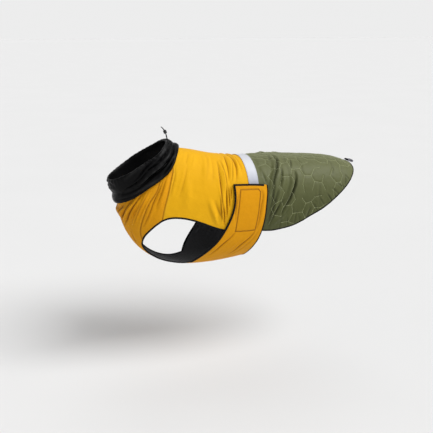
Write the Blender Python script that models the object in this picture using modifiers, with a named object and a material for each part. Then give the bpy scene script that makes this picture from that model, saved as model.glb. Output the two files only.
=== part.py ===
"""Dog coat in its worn shape: shell panels, quilted rump, snood collar and wrap-over belly band.

The wearer would look along -X, with its back at +Z and its left side at -Y. The origin is on the
inner face of the cloth, in the middle of the back, at the girth seam.

The tables are in millimetres and degrees, and every mesh is made in metres. A place on the coat is
given by back_x, the X of a body section where it crosses the back, and by angle, which runs round
that section: 0 on the back, 90 on the left side, 180 under the belly and negative on the right.
"""

from collections import namedtuple
import math
import random

import bmesh
import bpy
from mathutils import Vector
from mathutils.bvhtree import BVHTree
import numpy as np

MM = 0.001

# Cloth and trim sizes.
WALL = 1.6
SEAM_GAP = 0.3
LAYER_GAP = 0.35
TAPE_WALL = 1.0
TAPE_WIDTH = 25.0
PATCH_WALL = 2.2
WING_WALL = 2.0
BINDING_WALL = 1.0
BINDING_GAP = 0.35
BINDING_WIDTH = 3.8
HEM_BINDING_WIDTH = 3.2
NARROW_BINDING_WIDTH = 2.4
SNOOD_WALL = 1.8
SNOOD_OVERHANG = 4.0
QUILT_HEIGHT = 1.6
QUILT_CELL = 33.0
CORD_DIAMETER = 2.0
SHARP_ANGLE = 50.0

# How far from the cloth a ray starts that looks for its faces.
RAY_START = 6.0

# Points of a smooth path are read from this many finer ones for each point of its table.
FINE_STEPS = 40

# The seam between the yoke and the rump panel runs straight round the girth.
GIRTH_X = 0.0

# Smoothly rounded body sections. Each leans: it crosses the back at back_x, back_z and the belly
# at belly_x, belly_z. Fullness squares its corners and egg widens its upper half.
Section = namedtuple("Section", "back_x back_z belly_x belly_z half_width fullness egg")
BODY = [
    Section(-215, 57, -360, 2, 56, 0.03, 0.00),
    Section(-200, 43, -345, -35, 60, 0.03, 0.00),
    Section(-168, 28, -326, -99, 69, 0.03, 0.02),
    Section(-140, 23, -313, -158, 80, 0.04, 0.05),
    Section(-110, 16, -280, -213, 90, 0.05, 0.08),
    Section(-70, 8, -205, -259, 99, 0.06, 0.08),
    Section(-30, 2, -95, -265, 104, 0.07, 0.06),
    Section(0, 0, -12, -253, 105, 0.08, 0.05),
    Section(60, 1, 55, -236, 103, 0.09, 0.02),
    Section(130, -3, 128, -222, 98, 0.10, 0.00),
    Section(200, -8, 200, -222, 93, 0.10, 0.00),
    Section(260, -18, 262, -230, 88, 0.09, 0.00),
    Section(310, -36, 315, -240, 82, 0.08, 0.00),
]

# The neck seam and the snood's rim of the left half, as (angle, back_x) points.
NECK_SEAM = [(0, -177), (30, -176), (45, -171), (57, -165), (68, -162), (80, -163), (100, -166.5),
             (125, -169.5), (150, -172), (180, -173)]
SNOOD_RIM = [(0, -206), (25, -205), (45, -202.5), (60, -200.5), (85, -200), (117, -199), (145, -199),
             (180, -199)]

# Seams and edges of the left half, as (back_x, angle) points. The right half mirrors them.
YOKE_SEAM = [(-165, 57), (-157, 62), (-149, 70), (-135, 85), (-125, 98), (-114.5, 111)]
ARMHOLE_TOP = [(-114.5, 111), (-110, 105.4), (-102, 100.5), (-83, 96), (-61, 97.3), (-35, 103.7), (0, 109)]
BIB_SEAM = [(-163, 80), (-157, 87), (-150, 96), (-147, 106), (-141, 118), (-132, 131), (-124, 139.5),
            (-114.5, 145)]
ARMHOLE_FRONT = [(-114.5, 111), (-117, 119.5), (-117.8, 128), (-117.2, 137), (-114.5, 145)]
ARMHOLE_LOW = [(-114.5, 145), (-111, 151), (-105, 156.5), (-95, 160.5), (-81, 162), (-66, 160), (-52, 152)]
BAND_SEAM = [(-52, 152), (-54, 166), (-54, 180)]
WING_FRONT = [(-39, 56), (-33, 68), (-31, 80), (-33, 95), (-38, 112), (-45, 126), (-50, 140), (-52, 152)]
WING_REAR = [(29, 60), (29, 68), (27, 77), (23, 94), (14, 115), (3, 136), (-1, 155), (-2, 180)]
WING_TOP = [(-39, 56), (-5, 57), (29, 60)]
HEM = [(0, 109), (22, 113), (48, 116), (72, 117), (115, 115), (149, 107), (183, 98), (217, 84), (246, 69),
       (265, 57), (277, 47)]
TAIL_EDGE = [(277, 47), (284, 38), (288, 26), (290, 12), (291, 0)]
TAPE_MIDDLE = [(0, 0), (-3, 11), (-4, 22), (-3, 38), (-1, 54), (0, 70)]
PATCH_CORNERS = [(-22, 73), (-18, 99), (10, 101), (16, 74)]

# Soft folds of the left side: height, half width towards the neck and towards the tail, and path.
Fold = namedtuple("Fold", "height front_width rear_width path")
YOKE_FOLDS = [
    Fold(2.4, 16, 12, [(-109, 17), (-100, 36), (-94, 50), (-88, 60)]),
    Fold(3.4, 12, 9, [(-75, 22), (-61, 42), (-53, 54), (-46, 66)]),
    Fold(3.2, 9, 8, [(-52, 6), (-46, 30), (-42, 45), (-40, 56)]),
    Fold(2.2, 8, 8, [(-31, -6), (-32, 20), (-29, 40), (-27, 50)]),
    Fold(4.2, 9, 7, [(-56, 62), (-49, 74), (-44, 86), (-40, 98)]),
    Fold(3.2, 12, 9, [(-70, 72), (-58, 82), (-50, 90), (-42, 99)]),
    Fold(2.2, 18, 14, [(-124, 60), (-104, 78), (-96, 88)]),
]
CHEST_FOLDS = [
    Fold(4.6, 9, 8, [(-160, 101), (-155, 112), (-149, 124), (-137, 140)]),
    Fold(4.4, 9, 8, [(-161, 117), (-156, 128), (-150, 142), (-146, 150)]),
    Fold(4.0, 10, 8, [(-161, 134), (-154, 146), (-146, 156), (-138, 162)]),
    Fold(3.2, 10, 9, [(-160, 156), (-148, 164), (-130, 170)]),
    Fold(3.0, 10, 8, [(-159, 73), (-146, 84), (-137, 96), (-132, 102)]),
]
RUMP_FOLDS = [
    Fold(4.6, 10, 10, [(62, 8), (64, 30), (58, 42), (48, 54), (38, 66)]),
    Fold(4.4, 10, 12, [(98, 40), (101, 56), (95, 68), (84, 80), (72, 92)]),
    Fold(3.8, 10, 10, [(83, 46), (79, 58), (66, 70), (52, 82), (42, 94)]),
    Fold(3.0, 10, 10, [(102, 20), (98, 32), (95, 40)]),
    Fold(3.4, 10, 10, [(84, 96), (62, 103), (44, 108)]),
    Fold(1.6, 12, 12, [(140, 92), (132, 104), (126, 112)]),
]
THROAT_SWELL = Fold(6.5, 8, 26, [(-158, 118), (-159, 150), (-159, 180), (-159, 210), (-158, 242)])
RIGHT_SIDE_SLIP = -4.0
RIGHT_SIDE_EASE = 0.9

# A fold's path is read at this many steps. Its height follows the middle of a half wave along the
# path, so that it starts and ends a little above the plain cloth.
FOLD_STEPS = 24
FOLD_WAVE = (0.06, 0.94)

# The snood's section, from the neck seam up the inner wall, over the rim and down two rolls. Rise
# is its share of the way from the neck seam to the rim, and out is how far it stands off the neck.
SnoodRow = namedtuple("SnoodRow", "rise out")
SNOOD = [
    SnoodRow(0.012, 0.0),
    SnoodRow(0.35, 0.0),
    SnoodRow(0.72, 0.0),
    SnoodRow(0.94, 1.0),
    SnoodRow(1.00, 3.8),
    SnoodRow(0.98, 7.2),
    SnoodRow(0.88, 9.8),
    SnoodRow(0.70, 10.8),
    SnoodRow(0.50, 10.2),
    SnoodRow(0.37, 7.8),
    SnoodRow(0.29, 7.4),
    SnoodRow(0.19, 10.2),
    SnoodRow(0.05, 11.6),
    SnoodRow(-0.10, 10.4),
    SnoodRow(-0.18, 6.8),
    SnoodRow(-0.10, 3.2),
    SnoodRow(0.03, 2.6),
]

# The rolls bulge unevenly round the neck: waves in one turn, their share of the roll and their phase.
Bulge = namedtuple("Bulge", "waves share phase")
SNOOD_BULGES = [Bulge(3, 0.06, 1.0), Bulge(7, 0.04, 0.0)]
SNOOD_ROLL_FROM = 3.0


def natural_spline(knots, rows):
    """Return a function that reads a natural cubic spline through rows of values."""
    knots = np.array(knots, float)
    rows = np.array(rows, float)
    gap = np.diff(knots)
    system = np.eye(len(knots))
    right = np.zeros_like(rows)
    for i in range(1, len(knots) - 1):
        system[i, i - 1:i + 2] = gap[i - 1], 2 * (gap[i - 1] + gap[i]), gap[i]
        right[i] = 6 * ((rows[i + 1] - rows[i]) / gap[i] - (rows[i] - rows[i - 1]) / gap[i - 1])
    bend = np.linalg.solve(system, right)

    def read(at):
        at = np.asarray(at, float)
        i = np.clip(np.searchsorted(knots, at) - 1, 0, len(knots) - 2)
        step = gap[i][..., None]
        past = (at - knots[i])[..., None]
        slope = (rows[i + 1] - rows[i]) / step - step * (2 * bend[i] + bend[i + 1]) / 6
        cubic = past**3 * (bend[i + 1] - bend[i]) / (6 * step)
        return rows[i] + past * slope + past**2 * bend[i] / 2 + cubic

    return read


body_at = natural_spline([s.back_x for s in BODY], [s[1:] for s in BODY])


def on_body(place):
    """Points of the plain inner surface at (back_x, angle) places."""
    back_x, angle = place[..., 0], np.radians(place[..., 1])
    back_z, belly_x, belly_z, half_width, fullness, egg = np.moveaxis(body_at(back_x), -1, 0)
    cosine, sine = np.cos(angle), np.sin(angle)
    square = 1 + fullness * np.sin(2 * angle)**2
    x = (back_x + belly_x) / 2 + (back_x - belly_x) / 2 * cosine * square
    y = -half_width * (1 + egg * cosine) * sine * square
    z = (back_z + belly_z) / 2 + (back_z - belly_z) / 2 * cosine * square
    return np.stack([x, y, z], axis=-1)


def unit(vectors):
    """Vectors scaled to length one."""
    return vectors / np.linalg.norm(vectors, axis=-1, keepdims=True)


def outward(place):
    """Outward normals of the plain inner surface."""
    along = on_body(place + (1, 0)) - on_body(place - (1, 0))
    around = on_body(place + (0, 1)) - on_body(place - (0, 1))
    return unit(np.cross(around, along))


def smooth_path(points, count):
    """Places on a smooth curve through (back_x, angle) points, evenly spaced on the body."""
    points = np.array(points, float)
    chords = np.linalg.norm(np.diff(on_body(points), axis=0), axis=1)
    read = natural_spline(np.append(0, np.cumsum(chords)), points)
    fine = read(np.linspace(0, chords.sum(), FINE_STEPS * len(points)))
    steps = np.linalg.norm(np.diff(on_body(fine), axis=0), axis=1)
    length = np.append(0, np.cumsum(steps))
    even = np.linspace(0, length[-1], count + 1)
    return np.stack([np.interp(even, length, fine[:, k]) for k in (0, 1)], axis=-1)


def mirrored(places):
    """The same places on the other side of the body."""
    return places * (1, -1)


def both_sides(folds):
    """The left side's folds and their slightly shifted, softer twins on the right side."""
    for fold in folds:
        yield fold
        path = [(x, -angle - RIGHT_SIDE_SLIP) for x, angle in fold.path]
        yield fold._replace(height=fold.height * RIGHT_SIDE_EASE, path=path)


def fold_lift(folds, place):
    """Height of the folds over the plain surface at each place."""
    points = on_body(place)
    lift = np.zeros(points.shape[:-1])
    for fold in folds:
        path = on_body(smooth_path(fold.path, FOLD_STEPS))
        start, step = path[:-1], np.diff(path, axis=0)
        share = ((points[..., None, :] - start) * step).sum(-1) / (step**2).sum(-1)
        offset = points[..., None, :] - start - np.clip(share, 0, 1)[..., None] * step
        distance = np.linalg.norm(offset, axis=-1)
        nearest = distance.argmin(-1)[..., None]
        reach = np.take_along_axis(distance, nearest, -1)[..., 0]
        behind = np.take_along_axis(offset[..., 0], nearest, -1)[..., 0] > 0
        along = (nearest[..., 0] + np.clip(np.take_along_axis(share, nearest, -1)[..., 0], 0, 1)) / len(start)
        width = np.where(behind, fold.rear_width, fold.front_width)
        crest = (1 + np.cos(np.pi * np.clip(reach / width, 0, 1))) / 2
        lift += fold.height * crest * np.sin(np.pi * np.interp(along, (0, 1), FOLD_WAVE))
    return lift


ALL_FOLDS = [*both_sides(YOKE_FOLDS + CHEST_FOLDS + RUMP_FOLDS), THROAT_SWELL]


def cloth(place, lift=0.0):
    """Points of the folded cloth's inner face, moved out by lift."""
    return on_body(place) + outward(place) * (lift + fold_lift(ALL_FOLDS, place))[..., None]


def fill_between(front, rear, left, right):
    """A grid of places that blends smoothly between four edges (a Coons patch)."""
    down = np.linspace(0, 1, len(left))[:, None, None]
    across = np.linspace(0, 1, len(front))[None, :, None]
    lengthways = (1 - down) * front + down * rear
    sideways = (1 - across) * left[:, None] + across * right[:, None]
    corners = (1 - down) * ((1 - across) * front[0] + across * front[-1])
    corners = corners + down * ((1 - across) * rear[0] + across * rear[-1])
    return lengthways + sideways - corners


def square_to(vectors, along):
    """The part of each vector that is square to a direction, scaled to length one."""
    return unit(vectors - (vectors * along).sum(-1, keepdims=True) * along)


def draw_in(points, distance=SEAM_GAP / 2):
    """Move the rim of a grid of points in, so that two panels leave a gap at their seam."""
    moved = points.copy()
    rims = [(np.s_[0], np.s_[1]), (np.s_[-1], np.s_[-2])]
    rims += [(np.s_[:, 0], np.s_[:, 1]), (np.s_[:, -1], np.s_[:, -2])]
    for edge, inner in rims:
        along = unit(np.gradient(points[edge], axis=0))
        moved[edge] += distance * square_to(points[inner] - points[edge], along)
    return moved


def finish(name, colour, roughness, metallic=0.0):
    """A plain Principled material."""
    material = bpy.data.materials.new(name)
    material.use_nodes = True
    shader = material.node_tree.nodes["Principled BSDF"]
    shader.inputs["Base Color"].default_value = (*colour, 1.0)
    shader.inputs["Roughness"].default_value = roughness
    shader.inputs["Metallic"].default_value = metallic
    return material


def mesh_object(name, mesh, material, collection):
    """An object of a closed mesh, facing outwards and shaded smooth with sharp rims."""
    if mesh.calc_volume(signed=True) < 0:
        bmesh.ops.reverse_faces(mesh, faces=mesh.faces)
    data = bpy.data.meshes.new(name)
    mesh.to_mesh(data)
    mesh.free()
    data.shade_smooth()
    data.set_sharp_from_angle(angle=math.radians(SHARP_ANGLE))
    thing = bpy.data.objects.new(name, data)
    data.materials.append(material)
    collection.objects.link(thing)
    return thing


def tube_object(name, rings, material, collection, wall):
    """An open tube through rings of points, with a wall that Solidify grows inwards from it."""
    rows, columns = rings.shape[:2]
    vertices = [tuple(p * MM) for p in rings.reshape(-1, 3)]
    faces = []
    for i in range(rows - 1):
        for j in range(columns):
            k = (j + 1) % columns
            faces.append((i * columns + j, i * columns + k, (i + 1) * columns + k, (i + 1) * columns + j))
    mesh = bpy.data.meshes.new(name)
    mesh.from_pydata(vertices, [], faces)
    mesh.shade_smooth()
    thing = bpy.data.objects.new(name, mesh)
    mesh.materials.append(material)
    solidify = thing.modifiers.new("Wall", "SOLIDIFY")
    solidify.thickness = wall * MM
    solidify.offset = -1.0
    collection.objects.link(thing)


def panel(name, places, material, collection, lift=0.0, wall=WALL):
    """A cloth panel over a grid of places: a closed wall between its inner and outer points.

    The outer points are moved out along the body's own normals, which two panels share at a seam,
    so their walls stand at one angle there and leave an even gap. Each cell is split along its
    shorter diagonal, the same on both faces. Wall may differ over the grid.
    """
    inner = draw_in(cloth(places, lift))
    outer = inner + outward(places) * (np.zeros(places.shape[:2]) + wall)[..., None]
    rows, columns = places.shape[:2]
    number = np.arange(rows * columns).reshape(rows, columns)
    mesh = bmesh.new()
    low, high = ([mesh.verts.new(p * MM) for p in points.reshape(-1, 3)] for points in (inner, outer))
    corners = number[:-1, :-1], number[:-1, 1:], number[1:, 1:], number[1:, :-1]
    for a, b, c, d in zip(*(corner.ravel() for corner in corners)):
        if (low[a].co - low[c].co).length > (low[b].co - low[d].co).length:
            a, b, c, d = b, c, d, a
        for i, j, k in ((a, b, c), (a, c, d)):
            mesh.faces.new((high[i], high[j], high[k]))
            mesh.faces.new((low[k], low[j], low[i]))
    around = np.concatenate([number[0], number[1:, -1], number[-1, -2::-1], number[-2::-1, 0]])
    for a, b in zip(around, around[1:]):
        mesh.faces.new((low[a], low[b], high[b], high[a]))
    return mesh_object(name, mesh, material, collection)


def sweep(name, rings, material, collection):
    """A closed tube through rings of points, with flat ends."""
    count = rings.shape[1]
    mesh = bmesh.new()
    grid = [[mesh.verts.new(p * MM) for p in ring] for ring in rings]
    for ring, after in zip(grid, grid[1:]):
        for k in range(count):
            n = (k + 1) % count
            mesh.faces.new((ring[k], ring[n], after[n], after[k]))
    mesh.faces.new(grid[0][::-1])
    mesh.faces.new(grid[-1])
    return mesh_object(name, mesh, material, collection)


def binding_profile(rim_faces, end_faces, width):
    """A tape folded in a U round the edge of a wall: (inward, outward) points.

    Rim_faces and end_faces hold the heights of the wall's inner and outer faces at its rim and
    where the tape ends.
    """
    low, high = rim_faces[0] - BINDING_GAP, rim_faces[1] + BINDING_GAP
    end_low, end_high = end_faces[0] - BINDING_GAP, end_faces[1] + BINDING_GAP
    edge = SEAM_GAP / 2 - BINDING_GAP
    return [
        (width, end_high + BINDING_WALL),
        (edge - BINDING_WALL, high + BINDING_WALL),
        (edge - BINDING_WALL, low - BINDING_WALL),
        (width, end_low - BINDING_WALL),
        (width, end_low),
        (edge, low),
        (edge, high),
        (width, end_high),
    ]


def facets_of(panels):
    """The facets of one or more panels as a tree for ray casts, in millimetres."""
    corners, facets = [], []
    for thing in panels:
        first = len(corners)
        corners += [vertex.co / MM for vertex in thing.data.vertices]
        facets += [[first + index for index in face.vertices] for face in thing.data.polygons]
    return BVHTree.FromPolygons(corners, facets)


def wall_heights(facets, point, normal, wall):
    """Heights of a wall's inner and outer faces over a point, along a normal."""
    point, normal = Vector(point), Vector(normal)
    heights = []
    for side, usual in ((-1, 0.0), (1, wall)):
        start = point + normal * side * RAY_START
        hit = facets.ray_cast(start, -normal * side, 2 * RAY_START)[0]
        heights.append((hit - point).dot(normal) if hit else usual)
    return heights


def heights_along(facets, points, normals, wall):
    """The lowest inner and highest outer face next to each point of a line over a wall."""
    between = (points[1:] + points[:-1]) / 2, unit(normals[1:] + normals[:-1])
    heights = np.array([wall_heights(facets, p, n, wall) for p, n in zip(points, normals)])
    near = np.array([wall_heights(facets, p, n, wall) for p, n in zip(*between)])
    before, after = np.vstack([near[:1], near]), np.vstack([near, near[-1:]])
    stack = np.stack([before, heights, after])
    return np.stack([stack[..., 0].min(0), stack[..., 1].max(0)], axis=-1)


# Space that a binding leaves to a seam or corner at its end, and the shortest step next to its end.
END_SPACE = 1.0
CORNER_SPACE = 3.0
ARMPIT_SPACE = 4.0
BARE_REAR_CORNER = 8.0
LEAST_STEP = 1.0


def bind(name, panels, pairs, material, collection, lift=None, wall=WALL, width=BINDING_WIDTH,
         trim=(END_SPACE, END_SPACE)):
    """A binding along the rim of a wall, laid on the facets of the panels that make it.

    Pairs holds, for each point of the rim, its place and that of its neighbour inside the panel.
    Trim is the space left at its start and end.
    """
    facets = facets_of(panels)
    centres, beyond = np.moveaxis(cloth(pairs, 0.0 if lift is None else lift(pairs)), 1, 0)
    along = unit(np.gradient(centres, axis=0))
    inwards = square_to(beyond - centres, along)
    steps = np.linalg.norm(np.diff(centres, axis=0), axis=1)
    length = np.append(0, np.cumsum(steps))
    inside = (length > trim[0] + LEAST_STEP) & (length < length[-1] - trim[1] - LEAST_STEP)
    at = np.concatenate([[trim[0]], length[inside], [length[-1] - trim[1]]])
    centres, inwards, normals = (np.stack([np.interp(at, length, axis) for axis in rows.T], -1)
                                 for rows in (centres, inwards, outward(pairs[:, 0])))
    normals = unit(normals)
    inwards = unit(inwards - (inwards * normals).sum(-1, keepdims=True) * normals)
    ends = heights_along(facets, centres + inwards * width, normals, wall)
    profiles = [binding_profile((0.0, wall), end, width) for end in ends]
    rings = [[c + i * a + n * b for a, b in profile]
             for c, i, n, profile in zip(centres, inwards, normals, profiles)]
    return sweep(name, np.array(rings), material, collection)


def rim(places, edge, inner):
    """Pairs of places for bind: an edge of a grid and the line of points next to it."""
    return np.stack([places[edge], places[inner]], axis=1)


def under_belly(places):
    """Places mirrored to the right side, with angles that go on past 180."""
    return places * (1, -1) + (0, 360)


def joined(*paths):
    """Paths end to end, without their doubled points."""
    return np.concatenate([paths[0]] + [path[1:] for path in paths[1:]])


def round_back(left):
    """A path from the right side over the back to the left, from its left half."""
    return joined(mirrored(left)[::-1], left)


def round_belly(left):
    """A path from the left side under the belly to the right, from its left half."""
    return joined(left, under_belly(left)[::-1])


def round_line(back_x, angle, count):
    """Places along one section, from the back or belly line to an angle."""
    return np.stack([np.full(count + 1, float(back_x)), np.linspace(*angle, count + 1)], axis=-1)


# Samples along each seam and edge, shared by the pieces that meet there.
YOKE_SEAM_STEPS = 9
ARMHOLE_TOP_STEPS = 16
CHEST_SIDE_STEPS = 6
BIB_STEPS = 11
ARMHOLE_LOW_STEPS = 10
YOKE_HALF_STEPS = 11
RUMP_STEPS = 30
RUMP_HALF_STEPS = 16
BAND_STEPS = 7
WING_STEPS = 11
BAND_SEAM_STEPS = 3
SNOOD_STEPS = 46
TAPE_HALF_STEPS = 14
PATCH_STEPS = 4
PATCH_DOWN_STEPS = 5
CORD_STEPS = 30

yoke_seam = smooth_path(YOKE_SEAM, YOKE_SEAM_STEPS)
armhole_top = smooth_path(ARMHOLE_TOP, ARMHOLE_TOP_STEPS)
armhole_front = smooth_path(ARMHOLE_FRONT, CHEST_SIDE_STEPS)
bib_seam = smooth_path(BIB_SEAM, YOKE_SEAM_STEPS)
armhole_low = smooth_path(ARMHOLE_LOW, ARMHOLE_LOW_STEPS)
hem = smooth_path(HEM, RUMP_STEPS)
tail_edge = smooth_path(TAIL_EDGE, RUMP_HALF_STEPS)


def table_line(table, angles):
    """Places at angles along a line that is given by a table of (angle, back_x) points."""
    knots, values = zip(*table)
    left = np.abs((angles + 180) % 360 - 180)
    return np.stack([natural_spline(knots, [[v] for v in values])(left)[..., 0], angles], axis=-1)


def yoke_places():
    """The yoke's grid, from the neck seam to the girth seam and from right to left."""
    neck = table_line(NECK_SEAM, np.linspace(0, YOKE_SEAM[0][1], YOKE_HALF_STEPS + 1))
    girth = round_line(GIRTH_X, (0, ARMHOLE_TOP[-1][1]), YOKE_HALF_STEPS)
    side = joined(yoke_seam, armhole_top)
    return fill_between(round_back(neck), round_back(girth), mirrored(side), side)


def chest_side_places():
    """The left chest side's grid, from the neck seam to the armhole and from yoke to bib."""
    neck = table_line(NECK_SEAM, np.linspace(YOKE_SEAM[0][1], BIB_SEAM[0][1], CHEST_SIDE_STEPS + 1))
    return fill_between(neck, armhole_front, yoke_seam, bib_seam)


def bib_places():
    """The bib's grid, from the neck seam to the belly band and from left to right."""
    neck = table_line(NECK_SEAM, np.linspace(BIB_SEAM[0][1], 180, BIB_STEPS + 1))
    low = smooth_path(BAND_SEAM, BIB_STEPS)
    side = joined(bib_seam, armhole_low)
    return fill_between(round_belly(neck), round_belly(low), side, under_belly(side))


def make_front(collection):
    """Yoke, chest sides and bib, with the black tape round both armholes."""
    yoke, chest_side, bib = yoke_places(), chest_side_places(), bib_places()
    top_panel = panel("yoke", yoke, finish("yellow_shell", (0.80, 0.45, 0.02), 0.6), collection)
    shade = finish("yellow_shell_chest", (0.74, 0.38, 0.02), 0.6)
    left_panel = panel("chest_side_left", chest_side, shade, collection)
    right_panel = panel("chest_side_right", mirrored(chest_side)[:, ::-1], shade, collection)
    low_panel = panel("chest_bib", bib, shade, collection)
    top = rim(yoke[YOKE_SEAM_STEPS:], np.s_[:, -1], np.s_[:, -2])
    front = rim(chest_side, -1, -2)
    low = rim(bib[YOKE_SEAM_STEPS:], np.s_[:, 0], np.s_[:, 1])
    armhole = joined(top[::-1], front, low)
    tape = finish("armhole_tape", (0.015, 0.015, 0.015), 0.75)
    for side, panels, pairs in (("left", [top_panel, left_panel, low_panel], armhole),
                                ("right", [top_panel, right_panel, low_panel], mirrored(armhole))):
        bind(f"armhole_binding_{side}", panels, pairs, tape, collection, trim=(END_SPACE, ARMPIT_SPACE))


# How far the band's inner face stands off the body: over the coat's sides, then under the belly.
WING_LIFT = 4.8
WING_LIFT_UNTIL = 116.0
BELLY_FLAT_FROM = 146.0


def band_lift(places):
    """The wings lie over the coat's sides, and the belly part lies in line with the bib."""
    angle = np.abs(places[..., 1])
    angle = np.minimum(angle, 360 - angle)
    share = np.clip((angle - WING_LIFT_UNTIL) / (BELLY_FLAT_FROM - WING_LIFT_UNTIL), 0, 1)
    return WING_LIFT * (1 - share**2 * (3 - 2 * share))


def make_band(collection):
    """The belly band with both wings, which wrap up over the yoke and the rump panel."""
    front = round_belly(joined(smooth_path(WING_FRONT, WING_STEPS), smooth_path(BAND_SEAM, BAND_SEAM_STEPS)))
    rear = round_belly(smooth_path(WING_REAR, WING_STEPS + BAND_SEAM_STEPS))
    top = smooth_path(WING_TOP, BAND_STEPS)
    places = fill_between(front, rear, top, under_belly(top))
    material = finish("yellow_shell_band", (0.78, 0.40, 0.02), 0.6)
    band = [panel("belly_band", places, material, collection, band_lift(places), WING_WALL)]
    tape = finish("band_tape", (0.015, 0.015, 0.015), 0.75)
    left_front = rim(places[:, :WING_STEPS + 1], 0, 1)
    left_top = rim(places, np.s_[:, 0], np.s_[:, 1])
    for side, pairs_front, pairs_top in (("left", left_front, left_top),
                                         ("right", mirrored(left_front), mirrored(left_top))):
        bind(f"wing_front_binding_{side}", band, pairs_front, tape, collection, band_lift, WING_WALL,
             trim=(0, CORNER_SPACE))
        bind(f"wing_top_binding_{side}", band, pairs_top, tape, collection, band_lift, WING_WALL,
             trim=(BINDING_WIDTH + END_SPACE, BARE_REAR_CORNER))
    bind("band_rear_binding", band, rim(places, -1, -2), tape, collection, band_lift, WING_WALL,
         NARROW_BINDING_WIDTH, trim=(0, 0))


# Quilting of the rump panel: an uneven honeycomb of sewn lines with some of its sides left out. It
# is laid out flat, with so many millimetres to a degree, and shared corners are found again nearby.
QUILT_SEED = 11
QUILT_JITTER = 4.5
QUILT_LEFT_OUT = 0.2
QUILT_VALLEY = 9.0
QUILT_COLUMNS = range(-1, 13)
QUILT_ROWS = range(-8, 9)
SAME_CORNER = 3
AROUND_PER_DEGREE = 1.85


def quilt_lines():
    """Sewn lines as (start, end) pairs of points in millimetres along and around the rump."""
    random_source = random.Random(QUILT_SEED)
    side = QUILT_CELL / math.sqrt(3)
    corners, sides = {}, set()
    for column in QUILT_COLUMNS:
        for row in QUILT_ROWS:
            middle = (column * 1.5 * side, (row + column % 2 / 2) * QUILT_CELL)
            ring = []
            for turn in range(6):
                x = middle[0] + side * math.cos(math.radians(60 * turn))
                y = middle[1] + side * math.sin(math.radians(60 * turn))
                key = (round(x), round(y))
                near = [k for k in corners if math.dist(k, key) < SAME_CORNER]
                key = near[0] if near else key
                if not near:
                    push = random_source.uniform(-1, 1), random_source.uniform(-1, 1)
                    corners[key] = (x + QUILT_JITTER * push[0], y + QUILT_JITTER * push[1])
                ring.append(key)
            sides.update(tuple(sorted(pair)) for pair in zip(ring, ring[1:] + ring[:1]))
    kept = [pair for pair in sorted(sides) if random_source.random() > QUILT_LEFT_OUT]
    return np.array([[corners[a], corners[b]] for a, b in kept])


def quilt_height(places):
    """How far the padding stands out between the sewn lines, from 0 to 1."""
    points = np.stack([places[..., 0], places[..., 1] * AROUND_PER_DEGREE], axis=-1)[..., None, :]
    lines = quilt_lines()
    start, step = lines[:, 0], lines[:, 1] - lines[:, 0]
    share = np.clip(((points - start) * step).sum(-1) / (step**2).sum(-1), 0, 1)
    reach = np.linalg.norm(points - start - share[..., None] * step, axis=-1).min(-1)
    return np.sin(np.pi / 2 * np.clip(reach / QUILT_VALLEY, 0, 1))


def ramp(value, start, end):
    """A smooth step from 0 at start to 1 at end."""
    share = np.clip((value - start) / (end - start), 0, 1)
    return share**2 * (3 - 2 * share)


# Where the quilting comes free of what presses it flat: of the tape and the wing along the back, of
# the wing's end round the side, and of the tail tab along and round. Each goes from flat to free.
TAPE_FREE_X = (15, 24)
WING_FREE_X = (33, 42)
WING_FREE_ANGLE = (52, 44)
TAB_FREE_X = (12, 20)
TAB_FREE_ANGLE = (6, 12)


def uncovered(places):
    """1 where the quilting is free, and 0 where tape, wings or the tail tab press it flat."""
    back_x, angle = places[..., 0], np.abs(places[..., 1])
    off_tape = ramp(back_x, *TAPE_FREE_X)
    off_wing = 1 - (1 - ramp(back_x, *WING_FREE_X)) * (1 - ramp(angle, *WING_FREE_ANGLE))
    off_tab = 1 - (1 - ramp(np.abs(back_x - TAB_START_X), *TAB_FREE_X)) * (1 - ramp(angle, *TAB_FREE_ANGLE))
    return off_tape * off_wing * off_tab


# Share of its height that the quilting keeps in the row of points next to a binding.
BOUND_SHARE = 0.2


def make_rump(collection):
    """The quilted panel from the girth seam to the tail: raised outer points over a plain inside."""
    girth = round_line(GIRTH_X, (0, HEM[0][1]), RUMP_HALF_STEPS)
    tail = round_back(tail_edge[::-1])
    places = fill_between(round_back(girth), tail, mirrored(hem), hem)
    raised = quilt_height(places) * uncovered(places)
    for edge, share in ((0, 0.0), (1, BOUND_SHARE)):
        raised[[edge, -1 - edge]] *= share
        raised[:, [edge, -1 - edge]] *= share
    olive = finish("olive_quilt", (0.13, 0.15, 0.06), 0.8)
    quilt = panel("rump_panel", places, olive, collection, wall=WALL + QUILT_HEIGHT * raised)
    side = rim(places, np.s_[:, -1], np.s_[:, -2])
    end = rim(places, -1, -2)[::-1]
    around = joined(side, end, mirrored(side)[::-1])
    black = finish("hem_tape", (0.015, 0.015, 0.015), 0.75)
    bind("hem_binding", [quilt], around, black, collection, width=HEM_BINDING_WIDTH)


def make_tape(collection):
    """Reflective tape over the girth seam, down to just under the wings."""
    step = ARMHOLE_TOP[-1][1] / YOKE_HALF_STEPS / 2
    angles = np.arange(TAPE_HALF_STEPS + 1) * step
    along = natural_spline([a for _, a in TAPE_MIDDLE], [[x] for x, _ in TAPE_MIDDLE])(angles)
    middle = round_back(np.stack([along[:, 0], angles], axis=-1))
    stretch = np.linalg.norm(on_body(middle + (1, 0)) - on_body(middle - (1, 0)), axis=1) / 2
    half = np.stack([TAPE_WIDTH / 2 / stretch, np.zeros(len(stretch))], axis=-1)
    places = np.stack([middle - half, middle, middle + half])
    material = finish("silver_tape", (0.75, 0.76, 0.80), 0.3, 0.4)
    panel("reflective_tape", places, material, collection, WALL + LAYER_GAP, TAPE_WALL)


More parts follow.
